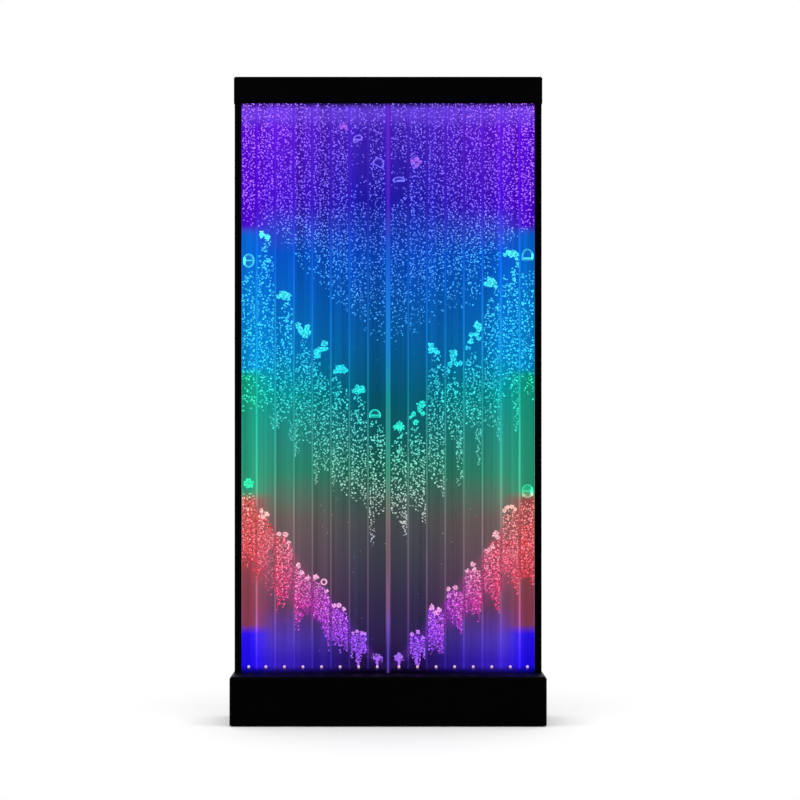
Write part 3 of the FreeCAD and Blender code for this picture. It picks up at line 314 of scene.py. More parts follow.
def in_wave(wave, across, height, soft):
    away = calculate("ABSOLUTE", across)
    top, end = (calculate("ADD", at_seam, product(away, climb))
                for at_seam, climb in (wave["top"], wave["end"]))
    under_top = ease(calculate("SUBTRACT", top, height), -soft, soft)
    over_end = ease(calculate("SUBTRACT", height, end), -soft, soft)
    return product(under_top, over_end)


def bubble_light(across, height):
    return band_light(across, height, side_sparkle, middle_sparkle, seam_sparkle)


print("bubble light: the waves' tops climb", young_wave["top"][1], "and", half_way_wave["top"][1])

# %% [markdown]
# ## The rear sheets
# Behind the water stands a dark acrylic sheet. The light skims over its inner face, so that face carries the
# bands and a haze of the young wave, while its outer face only shows a faint glow. Upright streaks, as the
# ribs and the flowing water cast them, keep it from looking printed: they are a noise that is stretched along
# the height.

# %% Rear sheet finish
rear_outer_glow = 0.12
wave_haze = 0.15
haze_soft = 0.025
broad_streaks = (26.0, 0.0, 0.45)
broad_levels = (0.78, 1.20)
fine_streaks = (150.0, 0.0, 0.9)
fine_levels = (0.88, 1.12)
face_depth = 0.0005
rear_dark = (0.0006, 0.0008, 0.0015, 1)
rear_pale = (0.0012, 0.0016, 0.003, 1)
rear_rough_range = (0.7, 1.2, 0.06, 0.14)
inner_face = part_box("left_back_sheet")[0].y
outer_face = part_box("left_back_sheet")[1].y


def make_rear_sheet():
    material, shader = new_finish("acrylic_smoked_lit")
    place = own_place(shader)
    axes = axes_of(place)
    across, height = axes["X"], axes["Z"]
    near_bubbles = product(in_wave(young_wave, across, height, haze_soft), wave_haze)
    glow = mix_colours(near_bubbles, sheet_light(across, height), bubble_light(across, height))
    broad = spread(grain(place, broad_streaks, 1.0, 2.0), *broad_levels)
    fine = spread(grain(place, fine_streaks, 1.0, 2.0), *fine_levels)
    inside = remap(axes["Y"], inner_face + face_depth, outer_face - face_depth, 1.0, rear_outer_glow)
    level = product(broad, fine, inside, end_shade(height))
    shine(shader, at_level(glow, level), mix_colours(fine, rear_dark, rear_pale),
          remap(broad, *rear_rough_range))
    set_inputs(shader, {"Specular IOR Level": 0.2})
    return material


rear_sheet = make_rear_sheet()
print("rear sheet from y", round(inner_face, 4), "to", round(outer_face, 4))

# %% [markdown]
# ## Clear acrylic and water
# The front sheet is polished acrylic, so it only needs transmission, the right index and a faint unevenness
# from casting. Water is seen only by what is in it, and gets a small plain alpha.

# %% Clear finishes
acrylic_index = 1.49
sheet_tint = (0.985, 0.992, 1.0, 1)
uneven_range = (0.35, 0.65, 0.0, 0.015)
sheet_mirror = 0.12
water_index = 1.33
water_alpha = 0.008
water_dark = (0.02, 0.08, 0.20, 1)
water_pale = (0.05, 0.14, 0.30, 1)
water_stretch = (4.0, 4.0, 1.0)


def make_front_sheet():
    material, shader = new_finish("acrylic_clear_sheet")
    uneven = remap(grain(own_place(shader), even, 9.0), *uneven_range)
    set_inputs(shader, {"Base Color": sheet_tint, "Transmission Weight": 1.0,
                        "IOR": acrylic_index, "Roughness": uneven,
                        "Specular Tint": (sheet_mirror, sheet_mirror, sheet_mirror, 1)})
    return material


def make_water():
    material, shader = new_finish("clear_water")
    tint = grain(own_place(shader), water_stretch, 2.0)
    set_inputs(shader, {"Base Color": mix_colours(tint, water_dark, water_pale), "Roughness": 0.04,
                        "IOR": water_index, "Alpha": water_alpha})
    return material


front_sheet = make_front_sheet()
water = make_water()
print("clear finishes:", front_sheet.name, water.name)

# %% [markdown]
# ## Lit edges
# The ribs, the end walls and the seam catch the light along their polished edges. They glow in a mix of the
# band behind them and of the stronger light further out, brighter than the sheet, and most of all low down,
# where the sheet is dark. Four gains say how bright an edge is at the foot, in its lower part, in its upper
# part and at the top. A rib amid a wave carries a painted reflection of the beads beside it, as a speckle in
# the bubbles' light, and the seam turns violet low down, where it gathers the glow of both young bursts.

# %% Lit edges
foot_heights = (0.20, 0.31)
gain_heights = (0.45, 0.85)
dim_heights = (1.30, 1.48)
side_places = (0.29, 0.375)
boost_range = (0.95, 1.25, 0.5, 0.2)
edge_lines = (60.0, 0.0, 3.0)
edge_levels = (0.82, 1.18)
edge_rough_range = (0.8, 1.2, 0.05, 0.12)
edge_base = (0.02, 0.024, 0.03, 1)
edge_grey = (0.17, 0.155, 0.175, 1)
grey_levels = (0.12, 0.025)
foot_grey_level = 0.3
edge_violet = (0.26, 0.10, 0.46, 1)
violet_heights = (0.34, 0.46)
bead_reflection_stretch = (1.0, 0.0, 1.0)
bead_reflection_scale = 230.0
bead_reflection_range = (0.40, 0.62, 0.18, 1.0)
young_soft = 0.020
half_way_soft = 0.040
half_way_share = 0.5


def edge_gain(height, near_side, gains):
    foot_gain, low_gain, high_gain, top_gain = gains
    low = ease(height, *foot_heights, foot_gain / low_gain, 1.0)
    middle = ease(height, *gain_heights, low_gain, high_gain)
    top = ease(height, *dim_heights, 1.0, top_gain / high_gain)
    boost = product(near_side, ease(height, *boost_range))
    return product(low, middle, top, calculate("ADD", 1.0, boost))


def make_lit_edge(name, share, gains, wave_share=0.0, violet_share=0.0):
    material, shader = new_finish(name)
    place = own_place(shader)
    axes = axes_of(place)
    across, height = axes["X"], axes["Z"]
    near_side = ease(calculate("ABSOLUTE", across), *side_places)

    further_out = height_ramp(height, middle_light, middle_blend)
    tint = mix_colours(share, sheet_light(across, height), further_out)
    along = spread(grain(place, edge_lines, 1.0, 2.0), *edge_levels)
    level = product(along, edge_gain(height, near_side, gains), end_shade(height))
    grey = product(ease(height, *gain_heights, *grey_levels),
                   calculate("SUBTRACT", 1.0, near_side), remap(height, *foot_heights, foot_grey_level, 1.0))
    bare = mix_colours(grey, at_level(tint, level), edge_grey)
    violet = ease(height, *violet_heights, violet_share, 0.0)
    bare = mix_colours(violet, bare, edge_violet)

    # Painted reflection: a speckle in the bubbles' light stands for the beads mirrored in the rib, only amid
    # a wave.
    beads = remap(grain(place, bead_reflection_stretch, bead_reflection_scale, 1.0), *bead_reflection_range)
    reflected_beads = at_level(bubble_light(across, height), beads)
    young = product(in_wave(young_wave, across, height, young_soft), wave_share)
    older = product(in_wave(half_way_wave, across, height, half_way_soft), half_way_share * wave_share)
    among_beads = calculate("MAXIMUM", young, older)
    shine(shader, mix_colours(among_beads, bare, reflected_beads), edge_base, remap(along, *edge_rough_range))
    return material


lit_rib = make_lit_edge("acrylic_rib_lit", 0.30, (1.10, 1.45, 1.30, 1.00), wave_share=0.85)
lit_wall = make_lit_edge("acrylic_end_wall_lit", 0.85, (0.50, 1.40, 1.30, 1.05))
lit_seam = make_lit_edge("acrylic_seam_lit", 0.60, (0.50, 1.10, 1.00, 0.80), violet_share=0.6)
print("lit edges:", lit_rib.name, lit_wall.name, lit_seam.name)

# %% [markdown]
# ## Black frame
# The cabinet, the cap and the rear panel are folded sheet with a fine-textured black powder coat. The posts
# are black anodised aluminium with a trace of the drawing lines along their length. Both are nearly black,
# and what tells them apart is only roughness and grain. One function makes such plain surfaces: a noise
# spreads two tints and a range of roughness over it, and the same noise or a finer one is its relief.

# %% Frame finishes
frame_dark = (0.0003, 0.0003, 0.0004)
coat_pale = (0.0009, 0.0009, 0.0010)
post_pale = (0.0010, 0.0010, 0.0011)
drawing_lines = (1400.0, 1400.0, 6.0)


def make_surface(name, tints, rough, noise, relief, fine_noise=None):
    material, shader = new_finish(name)
    place = own_place(shader)
    spots = grain(place, *noise)
    dark, pale = tints
    set_inputs(shader, {"Base Color": mix_colours(spots, (*dark, 1), (*pale, 1)),
                        "Roughness": spread(spots, *rough)})
    strength, distance = relief
    bump = add_node(shader.id_data, "ShaderNodeBump")
    set_inputs(bump, {"Strength": strength, "Distance": distance,
                      "Height": grain(place, *fine_noise) if fine_noise else spots})
    set_inputs(shader, {"Normal": bump.outputs["Normal"]})
    return material, shader


powder_coat, coat_shader = make_surface("powder_coat_black", (frame_dark, coat_pale), (0.42, 0.56),
                                        (even, 6.0), (0.18, 0.0003), (even, 900.0, 2.0))
set_inputs(coat_shader, {"Specular IOR Level": 0.05})
anodised, post_shader = make_surface("anodised_black", (frame_dark, post_pale), (0.34, 0.46),
                                     (drawing_lines, 1.0, 2.0), (0.08, 0.0002))
set_inputs(post_shader, {"Specular IOR Level": 0.06})
print("frame finishes:", powder_coat.name, anodised.name)

# %% [markdown]
# ## Works inside the base
# Behind the rear panel are pumps, valves, hoses, a controller and a power supply. They are seldom seen, but a
# part that is taken apart has to look right too. Each slot's finish is given by a name, a colour, a roughness
# and its grain: the stretch of it for metals, its scale and strength for plastics and rubbers.

# %% Plastics, rubbers and metals
metals = {
    "bare_steel": ("zinc_plate", (0.55, 0.56, 0.58), 0.36, (90.0, 90.0, 90.0)),
    "black_screw": ("black_oxide", (0.05, 0.05, 0.055), 0.42, (300.0, 300.0, 300.0)),
    "rail_aluminium": ("milled_alloy", (0.75, 0.76, 0.78), 0.30, (12.0, 700.0, 700.0)),
    "valve_brass": ("cast_brass", (0.66, 0.48, 0.22), 0.34, (160.0, 160.0, 160.0)),
    "supply_steel": ("folded_case", (0.68, 0.68, 0.69), 0.38, (500.0, 14.0, 500.0)),
}
plastics = {
    "rubber_black": ("black_rubber", (0.02, 0.02, 0.021), 0.78, 500.0, 0.25),
    "valve_black": ("moulded_black", (0.035, 0.035, 0.038), 0.52, 700.0, 0.15),
    "inlet_black": ("gloss_black", (0.018, 0.018, 0.02), 0.28, 400.0, 0.06),
    "pump_grey": ("pump_shell", (0.11, 0.11, 0.12), 0.58, 600.0, 0.2),
    "drain_plastic": ("white_fitting", (0.80, 0.80, 0.78), 0.32, 90.0, 0.05),
    "lever_red": ("dipped_red", (0.50, 0.03, 0.025), 0.38, 120.0, 0.1),
    "board_green": ("board_lacquer", (0.025, 0.17, 0.07), 0.34, 240.0, 0.08),
    "led_board_white": ("strip_white", (0.80, 0.80, 0.80), 0.40, 200.0, 0.05),
    "silicone": ("soft_tube", (0.72, 0.75, 0.76), 0.30, 150.0, 0.05),
}
metal_levels = (0.8, 1.0)
metal_rough_change = 0.08
metal_relief = (0.06, 0.0002)
plastic_levels = (0.82, 1.12)
plastic_rough_change = 0.06
plastic_relief_depth = 0.0003
tube_clearness = 0.35
works_finish = {}


def tints_of(colour, levels):
    return [tuple(min(1.0, level * part) for part in colour) for level in levels]


def around(rough, change):
    return rough - change, rough + change


for slot, (name, colour, rough, stretch) in metals.items():
    works_finish[slot], shader = make_surface(name, tints_of(colour, metal_levels),
                                              around(rough, metal_rough_change), (stretch, 1.0), metal_relief)
    set_inputs(shader, {"Metallic": 1.0})
for slot, (name, colour, rough, scale, strength) in plastics.items():
    works_finish[slot], shader = make_surface(name, tints_of(colour, plastic_levels),
                                              around(rough, plastic_rough_change), (even, scale),
                                              (strength, plastic_relief_depth))
    if slot == "silicone":
        set_inputs(shader, {"Transmission Weight": tube_clearness})
works_finish["lead_black"] = works_finish["rubber_black"]
works_finish["board_black"] = works_finish["valve_black"]
print("works finishes:", len(works_finish), "slots")

# %% [markdown]
# ## Lights in the posts and the lit nozzle tips
# The chips on the strips and the frosted covers shine in the band of their height. The nozzle tips stand at
# the foot of each channel and gather light from below, so they show as small pinkish points. The bar that
# holds them only shines a little along its top.

# %% Glowing finishes
strip_base = (0.6, 0.6, 0.62, 1)
strip_levels = (0.9, 1.1)
tip_height = 0.009
tip_blend = 0.006
tip_dark = (0.02, 0.005, 0.10, 1)
tip_pink = (0.88, 0.55, 0.72, 1)
tip_base = (0.30, 0.26, 0.30, 1)
tip_levels = (0.85, 1.1)
bar_blend = 0.012
bar_glow = (0.05, 0.30)
bar_base = (0.012, 0.012, 0.014, 1)
bar_levels = (0.75, 1.2)


def make_lit_strip(name, gain):
    material, shader = new_finish(name)
    place = own_place(shader)
    glow = height_ramp(axes_of(place)["Z"], side_light, side_blend)
    speckle = spread(grain(place, even, 260.0), *(level * gain for level in strip_levels))
    shine(shader, at_level(glow, speckle), strip_base, 0.5)
    return material


def make_nozzle_tip():
    material, shader = new_finish("nozzle_tip_lit")
    place = own_place(shader)
    tip_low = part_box("right_nozzles")[1].z - tip_height
    top = ease(axes_of(place)["Z"], tip_low, tip_low + tip_blend)
    mottle = spread(grain(place, even, 300.0), *tip_levels)
    shine(shader, mix_colours(product(top, mottle), tip_dark, tip_pink), tip_base, 0.2)
    return material


def make_lit_bar():
    material, shader = new_finish("nozzle_bar_lit")
    place = own_place(shader)
    axes = axes_of(place)
    bar_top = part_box("right_nozzle_bar")[1].z
    near_top = remap(axes["Z"], bar_top - bar_blend, bar_top, *bar_glow)
    mottle = spread(grain(place, even, 120.0), *bar_levels)
    glow = at_level(sheet_light(axes["X"], axes["Z"]), product(near_top, mottle))
    shine(shader, glow, bar_base, 0.5)
    return material


lit_chips = make_lit_strip("light_chip", 3.0)
lit_cover = make_lit_strip("frosted_cover", 1.3)
nozzle_tip = make_nozzle_tip()
lit_bar = make_lit_bar()
print("glowing finishes:", lit_chips.name, lit_cover.name, nozzle_tip.name, lit_bar.name)

# %% [markdown]
# ## Dress every CAD node
# The record gives each node a material slot. A table from slot to finish dresses them all, and the few nodes
# that share a slot but look different are named by themselves.

# %% Finish of each node
slot_finish = {
    **works_finish, "cabinet_black": powder_coat, "post_black": anodised, "acrylic_clear": front_sheet,
    "acrylic_smoked": rear_sheet, "water": water, "led_chip": lit_chips, "diffuser_frosted": lit_cover,
    "nozzle_clear": nozzle_tip,
}
node_finish = {
    "left_ribs": lit_rib, "right_ribs": lit_rib, "left_end_walls": lit_wall, "right_end_walls": lit_wall,
    "seam_strip": lit_seam, "left_nozzle_bar": lit_bar, "right_nozzle_bar": lit_bar,
}
for row in frame["record"]["subparts"]:
    name = row["node"]
    finish = node_finish.get(name, slot_finish[row["material_slot"]])
    nodes[name].data.materials.clear()
    nodes[name].data.materials.append(finish)

# %% [markdown]
# ## Bubbles: their glow
# A bubble in side light is bright along its left and right flanks. A large clear one has a bright outline,
# and its middle is painted with the glow of the sheet behind it. The finish reads the light of the bubbles,
# and has a light of its own colour for the fat heads. Three numbers kept on the mesh say how bright a bubble
# is, how much of a head, and how clear.

# %% Bubble finish
head_sparkle = {
    "foot": ((0.37, 0.26, 1.00), (0.58, 0.22, 0.97)),
    "red": ((0.92, 0.36, 0.82), (1.00, 0.58, 0.48)),
    "green": ((0.030, 0.92, 0.40), (0.020, 0.76, 0.80)),
    "blue": ((0.020, 0.74, 0.94), (0.08, 0.82, 0.97)),
    "violet": ((0.35, 0.18, 1.00), (0.40, 0.09, 0.92)),
}
skin_base = (0.01, 0.012, 0.016, 1)
flank_levels = (0.85, 1.15)
froth_scale = 260.0
froth_range = (0.35, 0.65, 0.78, 1.15)
facing_viewer = (0.75, 0.98)


def make_bubble_skin():
    material, shader = new_finish("bubble_skin")
    tree = shader.id_data
    glow, head, clear = (add_node(tree, "ShaderNodeAttribute", attribute_name=name).outputs["Fac"]
                         for name in ("glow", "head", "clear"))
    place = own_place(shader)
    axes = axes_of(place)
    across, height = axes["X"], axes["Z"]
    normal = axes_of(add_node(tree, "ShaderNodeTexCoord").outputs["Normal"])
    flank = remap(calculate("ABSOLUTE", normal["X"]), 0.0, 1.0, *flank_levels)
    froth = remap(grain(place, even, froth_scale, 1.0), *froth_range)
    of_head = height_ramp(height, head_sparkle, side_blend)
    tint = mix_colours(head, bubble_light(across, height), of_head)
    flat_on = ease(calculate("ABSOLUTE", normal["Y"]), *facing_viewer)
    lit = at_level(tint, product(flank, froth, glow))
    # Where a clear bubble faces front, the sheet's light behind it is painted in as its glow.
    shine(shader, mix_colours(product(flat_on, clear), lit, sheet_light(across, height)),
          skin_base, 0.12)
    return material


bubble_skin = make_bubble_skin()
print("bubble finish:", bubble_skin.name)

# %% [markdown]
# ## Bubbles: the sixteen channels
# Air comes in bursts, timed from channel to channel, so that the bursts stand as waves: foam under the cap,
# a wave in the shape of a V half way up, and a young one that has just left the nozzles. Each burst has a
# fat head and a tail of small beads. A particle system could scatter beads, but a seeded loop over
# `create_icosphere` gives the same bubbles on every run, and lets each channel have its own burst.

# %% Channel places
water_box = {side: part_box(side + "_water") for side in ("left", "right")}
rib_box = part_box("right_ribs")
rib_count = 7
channels = 8
last = 2 * channels - 1
inner_wall = water_box["right"][0].x
outer_wall = water_box["right"][1].x
rib_width = 0.004
rib_pitch = (rib_box[1].x - rib_box[0].x - rib_width) / (rib_count - 1)
channel_width = rib_box[0].x - inner_wall
water_top = water_box["right"][1].z
nozzle_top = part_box("right_nozzles")[1].z


def channel_span(column):
    """Left and right wall of a column, 0 to 15 from the left as seen from the front."""
    index = channels - 1 - column if column < channels else column - channels
    start = inner_wall + index * rib_pitch
    end = outer_wall if index == channels - 1 else start + channel_width
    return (-end, -start) if column < channels else (start, end)


print("channel pitch", round(rib_pitch, 4), "first span", [round(x, 4) for x in channel_span(0)])

# %% [markdown]
# Small shapes come first. A bead is a twenty-sided ball, drawn out and turned at random. A lobe is a round
# core with a crown of beads, and two to six lobes make the head of a burst. A clear cap starts as a ball, is
# cut flat underneath, and its floor is inset and pushed up, as rising air does. A ring is a whole clear ball,
# and gleams are the bright streaks on the front of both. Operators slow down on a large mesh, so the bubbles
# are made in batches that are gathered into the channel's mesh.

# %% Bubble shapes
bead_depth = 0.0055
whole_depth = (-bead_depth, bead_depth)
front_half = (-bead_depth, 0.0)
rear_half = (0.0, bead_depth)
bead_margin = 1.3
bead_lengths = (0.9, 1.8)
most_depth = 0.0075
front_room = 0.0087
core_size = (0.80, 0.75)
core_level = 0.75
core_depth = 0.003
knobs = 15
knob_shift = 0.4
knob_size = 0.24
knob_reach = (0.30, 1.05)
knob_levels = (0.6, 1.6)
gleam_depth = 0.0058
ring_level = 0.75
bar_size = (0.80, 0.12)
flank_place = (0.74, -0.05)
flank_size = (0.22, 0.62)
flank_gain = 1.8
cap_sides = 20
cap_rows = 12
cap_cut = -0.35
cap_rim = 0.22
cap_hollow = 0.30
face_order = Vector((0.62, 0.31, 1.0))
batch_size = 100
first_seed = 400


class Bubbles:
    """One channel's bubbles, with the numbers that the finish reads."""

    def __init__(self, column):
        self.column = column
        self.whole = bmesh.new()
        self.draw = random.Random(first_seed + column)
        self.span = channel_span(column)
        self.middle = (self.span[0] + self.span[1]) / 2
        self.half = (self.span[1] - self.span[0]) / 2
        self.outward = -1 if column < channels else 1
        self.count = 0
        self.start()

    def start(self):
        self.mesh = bmesh.new()
        self.numbers = [self.mesh.verts.layers.float.new(name) for name in ("glow", "head", "clear")]

    def gather(self):
        batch = bpy.data.meshes.new("batch")
        self.mesh.to_mesh(batch)
        self.mesh.free()
        self.whole.from_mesh(batch)
        bpy.data.meshes.remove(batch)
        self.start()

    def mark(self, verts, *values):
        for vert in verts:
            for number, value in zip(self.numbers, values):
                vert[number] = value
        self.count += 1
        if self.count % batch_size == 0:
            self.gather()

    def inside(self, x, margin):
        return max(self.span[0] + margin, min(self.span[1] - margin, x))

    def bead(self, x, z, radius, glow, head=0.0, depths=whole_depth):
        draw = self.draw
        place = Matrix.Translation((self.inside(x, bead_margin * radius), draw.uniform(*depths), z))
        turn = Matrix.Rotation(draw.uniform(0.0, math.pi), 4, "Y")
        shape = Matrix.Diagonal((1.0, 1.0, draw.uniform(*bead_lengths), 1.0))
        made = bmesh.ops.create_icosphere(self.mesh, subdivisions=1, radius=radius,
                                          matrix=place @ turn @ shape)
        self.mark(made["verts"], glow, head, 0.0)

    def ball(self, x, z, size, glow, head, clear=0.0, forward=0.0):
        """A ball or a flattened one: size is its half width and half height."""
        wide, high = size
        deep = min(most_depth, wide, high, front_room - forward)
        place = Matrix.Translation((self.inside(x, wide), -forward, z))
        made = bmesh.ops.create_icosphere(self.mesh, subdivisions=3 if clear else 2, radius=1.0,
                                          matrix=place @ Matrix.Diagonal((wide, deep, high, 1.0)))
        self.mark(made["verts"], glow, head, clear)

    def lobe(self, x, z, radius, glow, head):
        core = [share * radius for share in core_size]
        self.ball(x, z, core, core_level * glow, head, forward=-core_depth)
        for knob in range(knobs):
            angle = 2 * math.pi * (knob + self.draw.uniform(-knob_shift, knob_shift)) / knobs
            reach = radius * self.draw.uniform(*knob_reach)
            self.bead(x + reach * math.cos(angle), z + reach * math.sin(angle), knob_size * radius,
                      glow * self.draw.uniform(*knob_levels), head, front_half)

    def lobes(self, z, steps, glow, head):
        for right, up, radius in steps:
            self.lobe(self.middle + right / 1000, z + up / 1000, radius / 1000, glow, head)

    def gleam(self, x, z, size, glow, head):
        self.ball(x, z, size, glow, head, forward=gleam_depth)

    def ring(self, x, z, size, glow, head, clear):
        """A large clear bubble with the bright bar and flank that side light gives it."""
        wide, high = size
        self.ball(x, z, size, ring_level * glow, head, clear)
        self.gleam(x, z, (bar_size[0] * wide, bar_size[1] * high), glow, head)
        flank_x = x + flank_place[0] * self.outward * wide
        flank_z = z + flank_place[1] * high
        self.gleam(flank_x, flank_z, (flank_size[0] * wide, flank_size[1] * high), flank_gain * glow, head)

    def cap(self, x, z, size, glow, head, lean):
        """A clear cap, shaped by operators on a whole mesh, so it gets a batch of its own."""
        width, height = size
        self.gather()
        cap = self.mesh
        bmesh.ops.create_uvsphere(cap, u_segments=cap_sides, v_segments=cap_rows, radius=1.0)
        everything = cap.verts[:] + cap.edges[:] + cap.faces[:]
        bmesh.ops.bisect_plane(cap, geom=everything, plane_co=(0, 0, cap_cut), plane_no=(0, 0, 1),
                               clear_inner=True)
        rim = [edge for edge in cap.edges if edge.is_boundary]
        floor_face = bmesh.ops.contextual_create(cap, geom=rim)["faces"]
        bmesh.ops.inset_region(cap, faces=floor_face, thickness=cap_rim, use_even_offset=True)
        inner = [vert for face in floor_face for vert in face.verts]
        bmesh.ops.translate(cap, verts=inner, vec=(0.0, 0.0, cap_hollow))
        bmesh.ops.recalc_face_normals(cap, faces=cap.faces)
        # The operator gives the ball's faces in another order on each run, so they are sorted.
        cap.faces.sort(key=lambda face: face.calc_center_median().dot(face_order))
        bmesh.ops.translate(cap, verts=cap.verts, vec=(0.0, 0.0, -cap_cut))
        bmesh.ops.scale(cap, verts=cap.verts, vec=(width / 2, most_depth, height / (1.0 - cap_cut)))
        bmesh.ops.rotate(cap, verts=cap.verts, cent=(0, 0, 0), matrix=Matrix.Rotation(lean, 3, "Y"))
        bmesh.ops.translate(cap, verts=cap.verts, vec=(self.inside(x, width / 2), 0.0, z))
        self.mark(cap.verts, glow, head, 1.0)
        self.gather()


print("bubble shapes ready")

# %% [markdown]
# The bursts are laid out by a few rules. `drift` fills a stretch of a channel with loose beads: its top and
# its end are given at the outer wall, the middle and the inner wall. `keep` is the share of places that get a
# bead. Over the shares `grow` and `fade` of the way down, the beads start sparse and thin out again. `rough`
# says how patchy they are, by waves of two lengths, and `ragged` how uneven their top and their end.

# %% Drifting beads
patch_width = 0.0042
patch_bend = 0.011
patch_sway = 1.6
patch_height = 0.0075
sparse_start = 0.50
sparse_end = 0.25
place_jitter = 0.6
wall_margins = (1.3, 2.4)
glow_levels = (0.5, 1.25)
head_start = 1.3
head_levels = (0.4, 1.6)


def patches(draw):
    first, second, third = (draw.uniform(0.0, 2 * math.pi) for wave in range(3))

    def thickness(x, z):
        weave = math.sin(x / patch_width + first + patch_sway * math.sin(z / patch_bend + second))
        return 0.5 + 0.5 * weave * math.sin(z / patch_height + third)
    return thickness


def height_across(heights, share):
    """Height at a share of the width, from the outer wall over the middle to the inner wall."""
    outer, middle, inner = heights
    if share < 0.5:
        return outer + (middle - outer) * 2 * share
    return middle + (inner - middle) * (2 * share - 1)


def drift(bubbles, tops, ends, pitch, keep, sizes, glow, head=0.0, grow=0.0, fade=0.25, rough=0.40,
          depths=whole_depth, ragged=0.0):
    draw = bubbles.draw
    thickness = patches(draw)
    columns = max(1, round(2 * bubbles.half / pitch))
    for step in range(columns):
        share = (step + 0.5) / columns
        top = height_across(tops, share) - draw.uniform(0.0, 0.5 * ragged)
        end = height_across(ends, share) + draw.uniform(-ragged, ragged)
        for row in range(max(0, int((top - end) / pitch))):
            z = top - (row + draw.uniform(0.0, 1.0)) * pitch
            part = (top - z) / (top - end)
            chance = keep
            if grow:
                chance *= min(1.0, sparse_start + (1.0 - sparse_start) * part / grow)
            if part > 1.0 - fade:
                chance *= sparse_end + (1.0 - sparse_end) * (1.0 - part) / fade
            x = bubbles.middle + bubbles.outward * (1.0 - 2.0 * share) * bubbles.half
            if draw.random() < chance * (1.0 - rough + 2 * rough * thickness(x, z)):
                radius = draw.uniform(*sizes)
                x += draw.uniform(-place_jitter, place_jitter) * pitch
                x = bubbles.inside(x, draw.uniform(*wall_margins) * radius)
                bubbles.bead(x, z, radius, glow * draw.uniform(*glow_levels),
                             head * (head_start - part) * draw.uniform(*head_levels), depths)


print("drift ready: a tail thins out to", sparse_end, "of its beads")

# %% [markdown]
# Four smaller rules do the rest. `stalk` is the winding string of small clumps right under a head, `strand`
# the thin end of a tail that hangs along a rib, `stem` the straight column between a nozzle and a burst that
# has just begun, and `puff` such a burst.

# %% Stalks, strands, stems and puffs
clump_height = 0.020
clump_sway = (0.003, 0.009)
clump_beads = (8, 12)
clump_spread = (0.0055, 0.0070)
stalk_bead = (0.0014, 0.0026)
stalk_levels = (0.7, 1.25)
stalk_head = 0.5
strand_step = 0.0030
strand_spread = (0.0065, 0.0030)
fine_bead = (0.0012, 0.0024)
stem_step = 0.0010
stem_bead = (0.0015, 0.0026)
stem_levels = (0.8, 1.2)
puff_head = 0.6


def stalk(bubbles, x, z, length, glow):
    draw = bubbles.draw
    clumps = max(1, round(length / clump_height))
    side = draw.choice((-1, 1))
    wide, high = clump_spread
    for clump in range(clumps):
        side = -side
        middle = x + (bubbles.middle - x) * clump / clumps + side * draw.uniform(*clump_sway)
        height = z - (clump + 0.5) * length / clumps
        for one in range(draw.randint(*clump_beads)):
            bubbles.bead(middle + draw.gauss(0.0, wide), height + draw.gauss(0.0, high),
                         draw.uniform(*stalk_bead), glow * draw.uniform(*stalk_levels), stalk_head)


def strand(bubbles, share, top, end, glow):
    """A strand at a share of the way from the channel's left wall to its right one."""
    draw = bubbles.draw
    x = bubbles.span[0] + 2 * bubbles.half * share
    wide, narrow = strand_spread
    for step in range(int((top - end) / strand_step)):
        z = top - strand_step * (step + draw.random())
        scatter = narrow + (wide - narrow) * (z - end) / (top - end)
        bubbles.bead(x + draw.gauss(0.0, scatter), z, draw.uniform(*fine_bead),
                     glow * draw.uniform(*glow_levels))


def stem(bubbles, low, high, wide, glow):
    draw = bubbles.draw
    for step in range(int((high - low) / stem_step)):
        z = low + stem_step * (step + 1)
        scatter = wide * (0.5 + (z - low) / (high - low))
        bubbles.bead(bubbles.middle + draw.uniform(-scatter, scatter), z, draw.uniform(*stem_bead),
                     glow * draw.uniform(*stem_levels))


def puff(bubbles, z, wide, high, beads, glow):
    draw = bubbles.draw
    for one in range(beads):
        bubbles.bead(bubbles.middle + draw.gauss(0.0, wide), z + draw.gauss(0.0, high),
                     draw.uniform(*fine_bead), glow * draw.uniform(*glow_levels),
                     draw.uniform(0.0, puff_head))


print("stalk, strand, stem and puff ready")

# %% [markdown]
# ## Bubbles: the three waves
# The waves are given channel by channel from the left, as heights in metres read off the photograph. Heads
# are lists of lobes, each a step to the right, a step up and a radius in millimetres. Where a stretch of
# beads ends or begins at a slant, it has a height for the outer wall, the middle and the inner wall. First
# comes the foam under the cap. Two channels have a gap in it, and two hold a last, pinkish head.

# %% Foam under the cap
foam_end = [1.411, 1.408, 1.343, 1.292, 1.232, 1.183, 1.120, 1.077,
            1.080, 1.100, 1.160, 1.175, 1.180, 1.257, 1.363, 1.405]
foam_keep = [0.88, 0.88, 0.86, 0.86, 0.86, 0.83, 0.72, 0.64, 0.70, 0.75, 0.80, 0.84, 0.86, 0.86, 0.88, 0.88]
foam_gap = {6: (1.66, 1.50), 8: (1.59, 1.49)}
gap_slant = 0.02
foam_inset = 0.004
foam = {"pitch": 0.0068, "sizes": (0.0013, 0.0023), "glow": 1.45}
thin_foam = {"pitch": 0.0068, "keep": 0.14, "sizes": (0.0013, 0.0023), "glow": 1.2, "fade": 0.0}
top_marks = {
    5: (1.698, [(4, 0, 7), (14, 6, 7), (18, -4, 6)]),
    9: (1.600, [(-13, 0, 7), (-2, 7, 7), (7, -1, 7), (-3, -11, 7)]),
}
mark_glow = 0.9


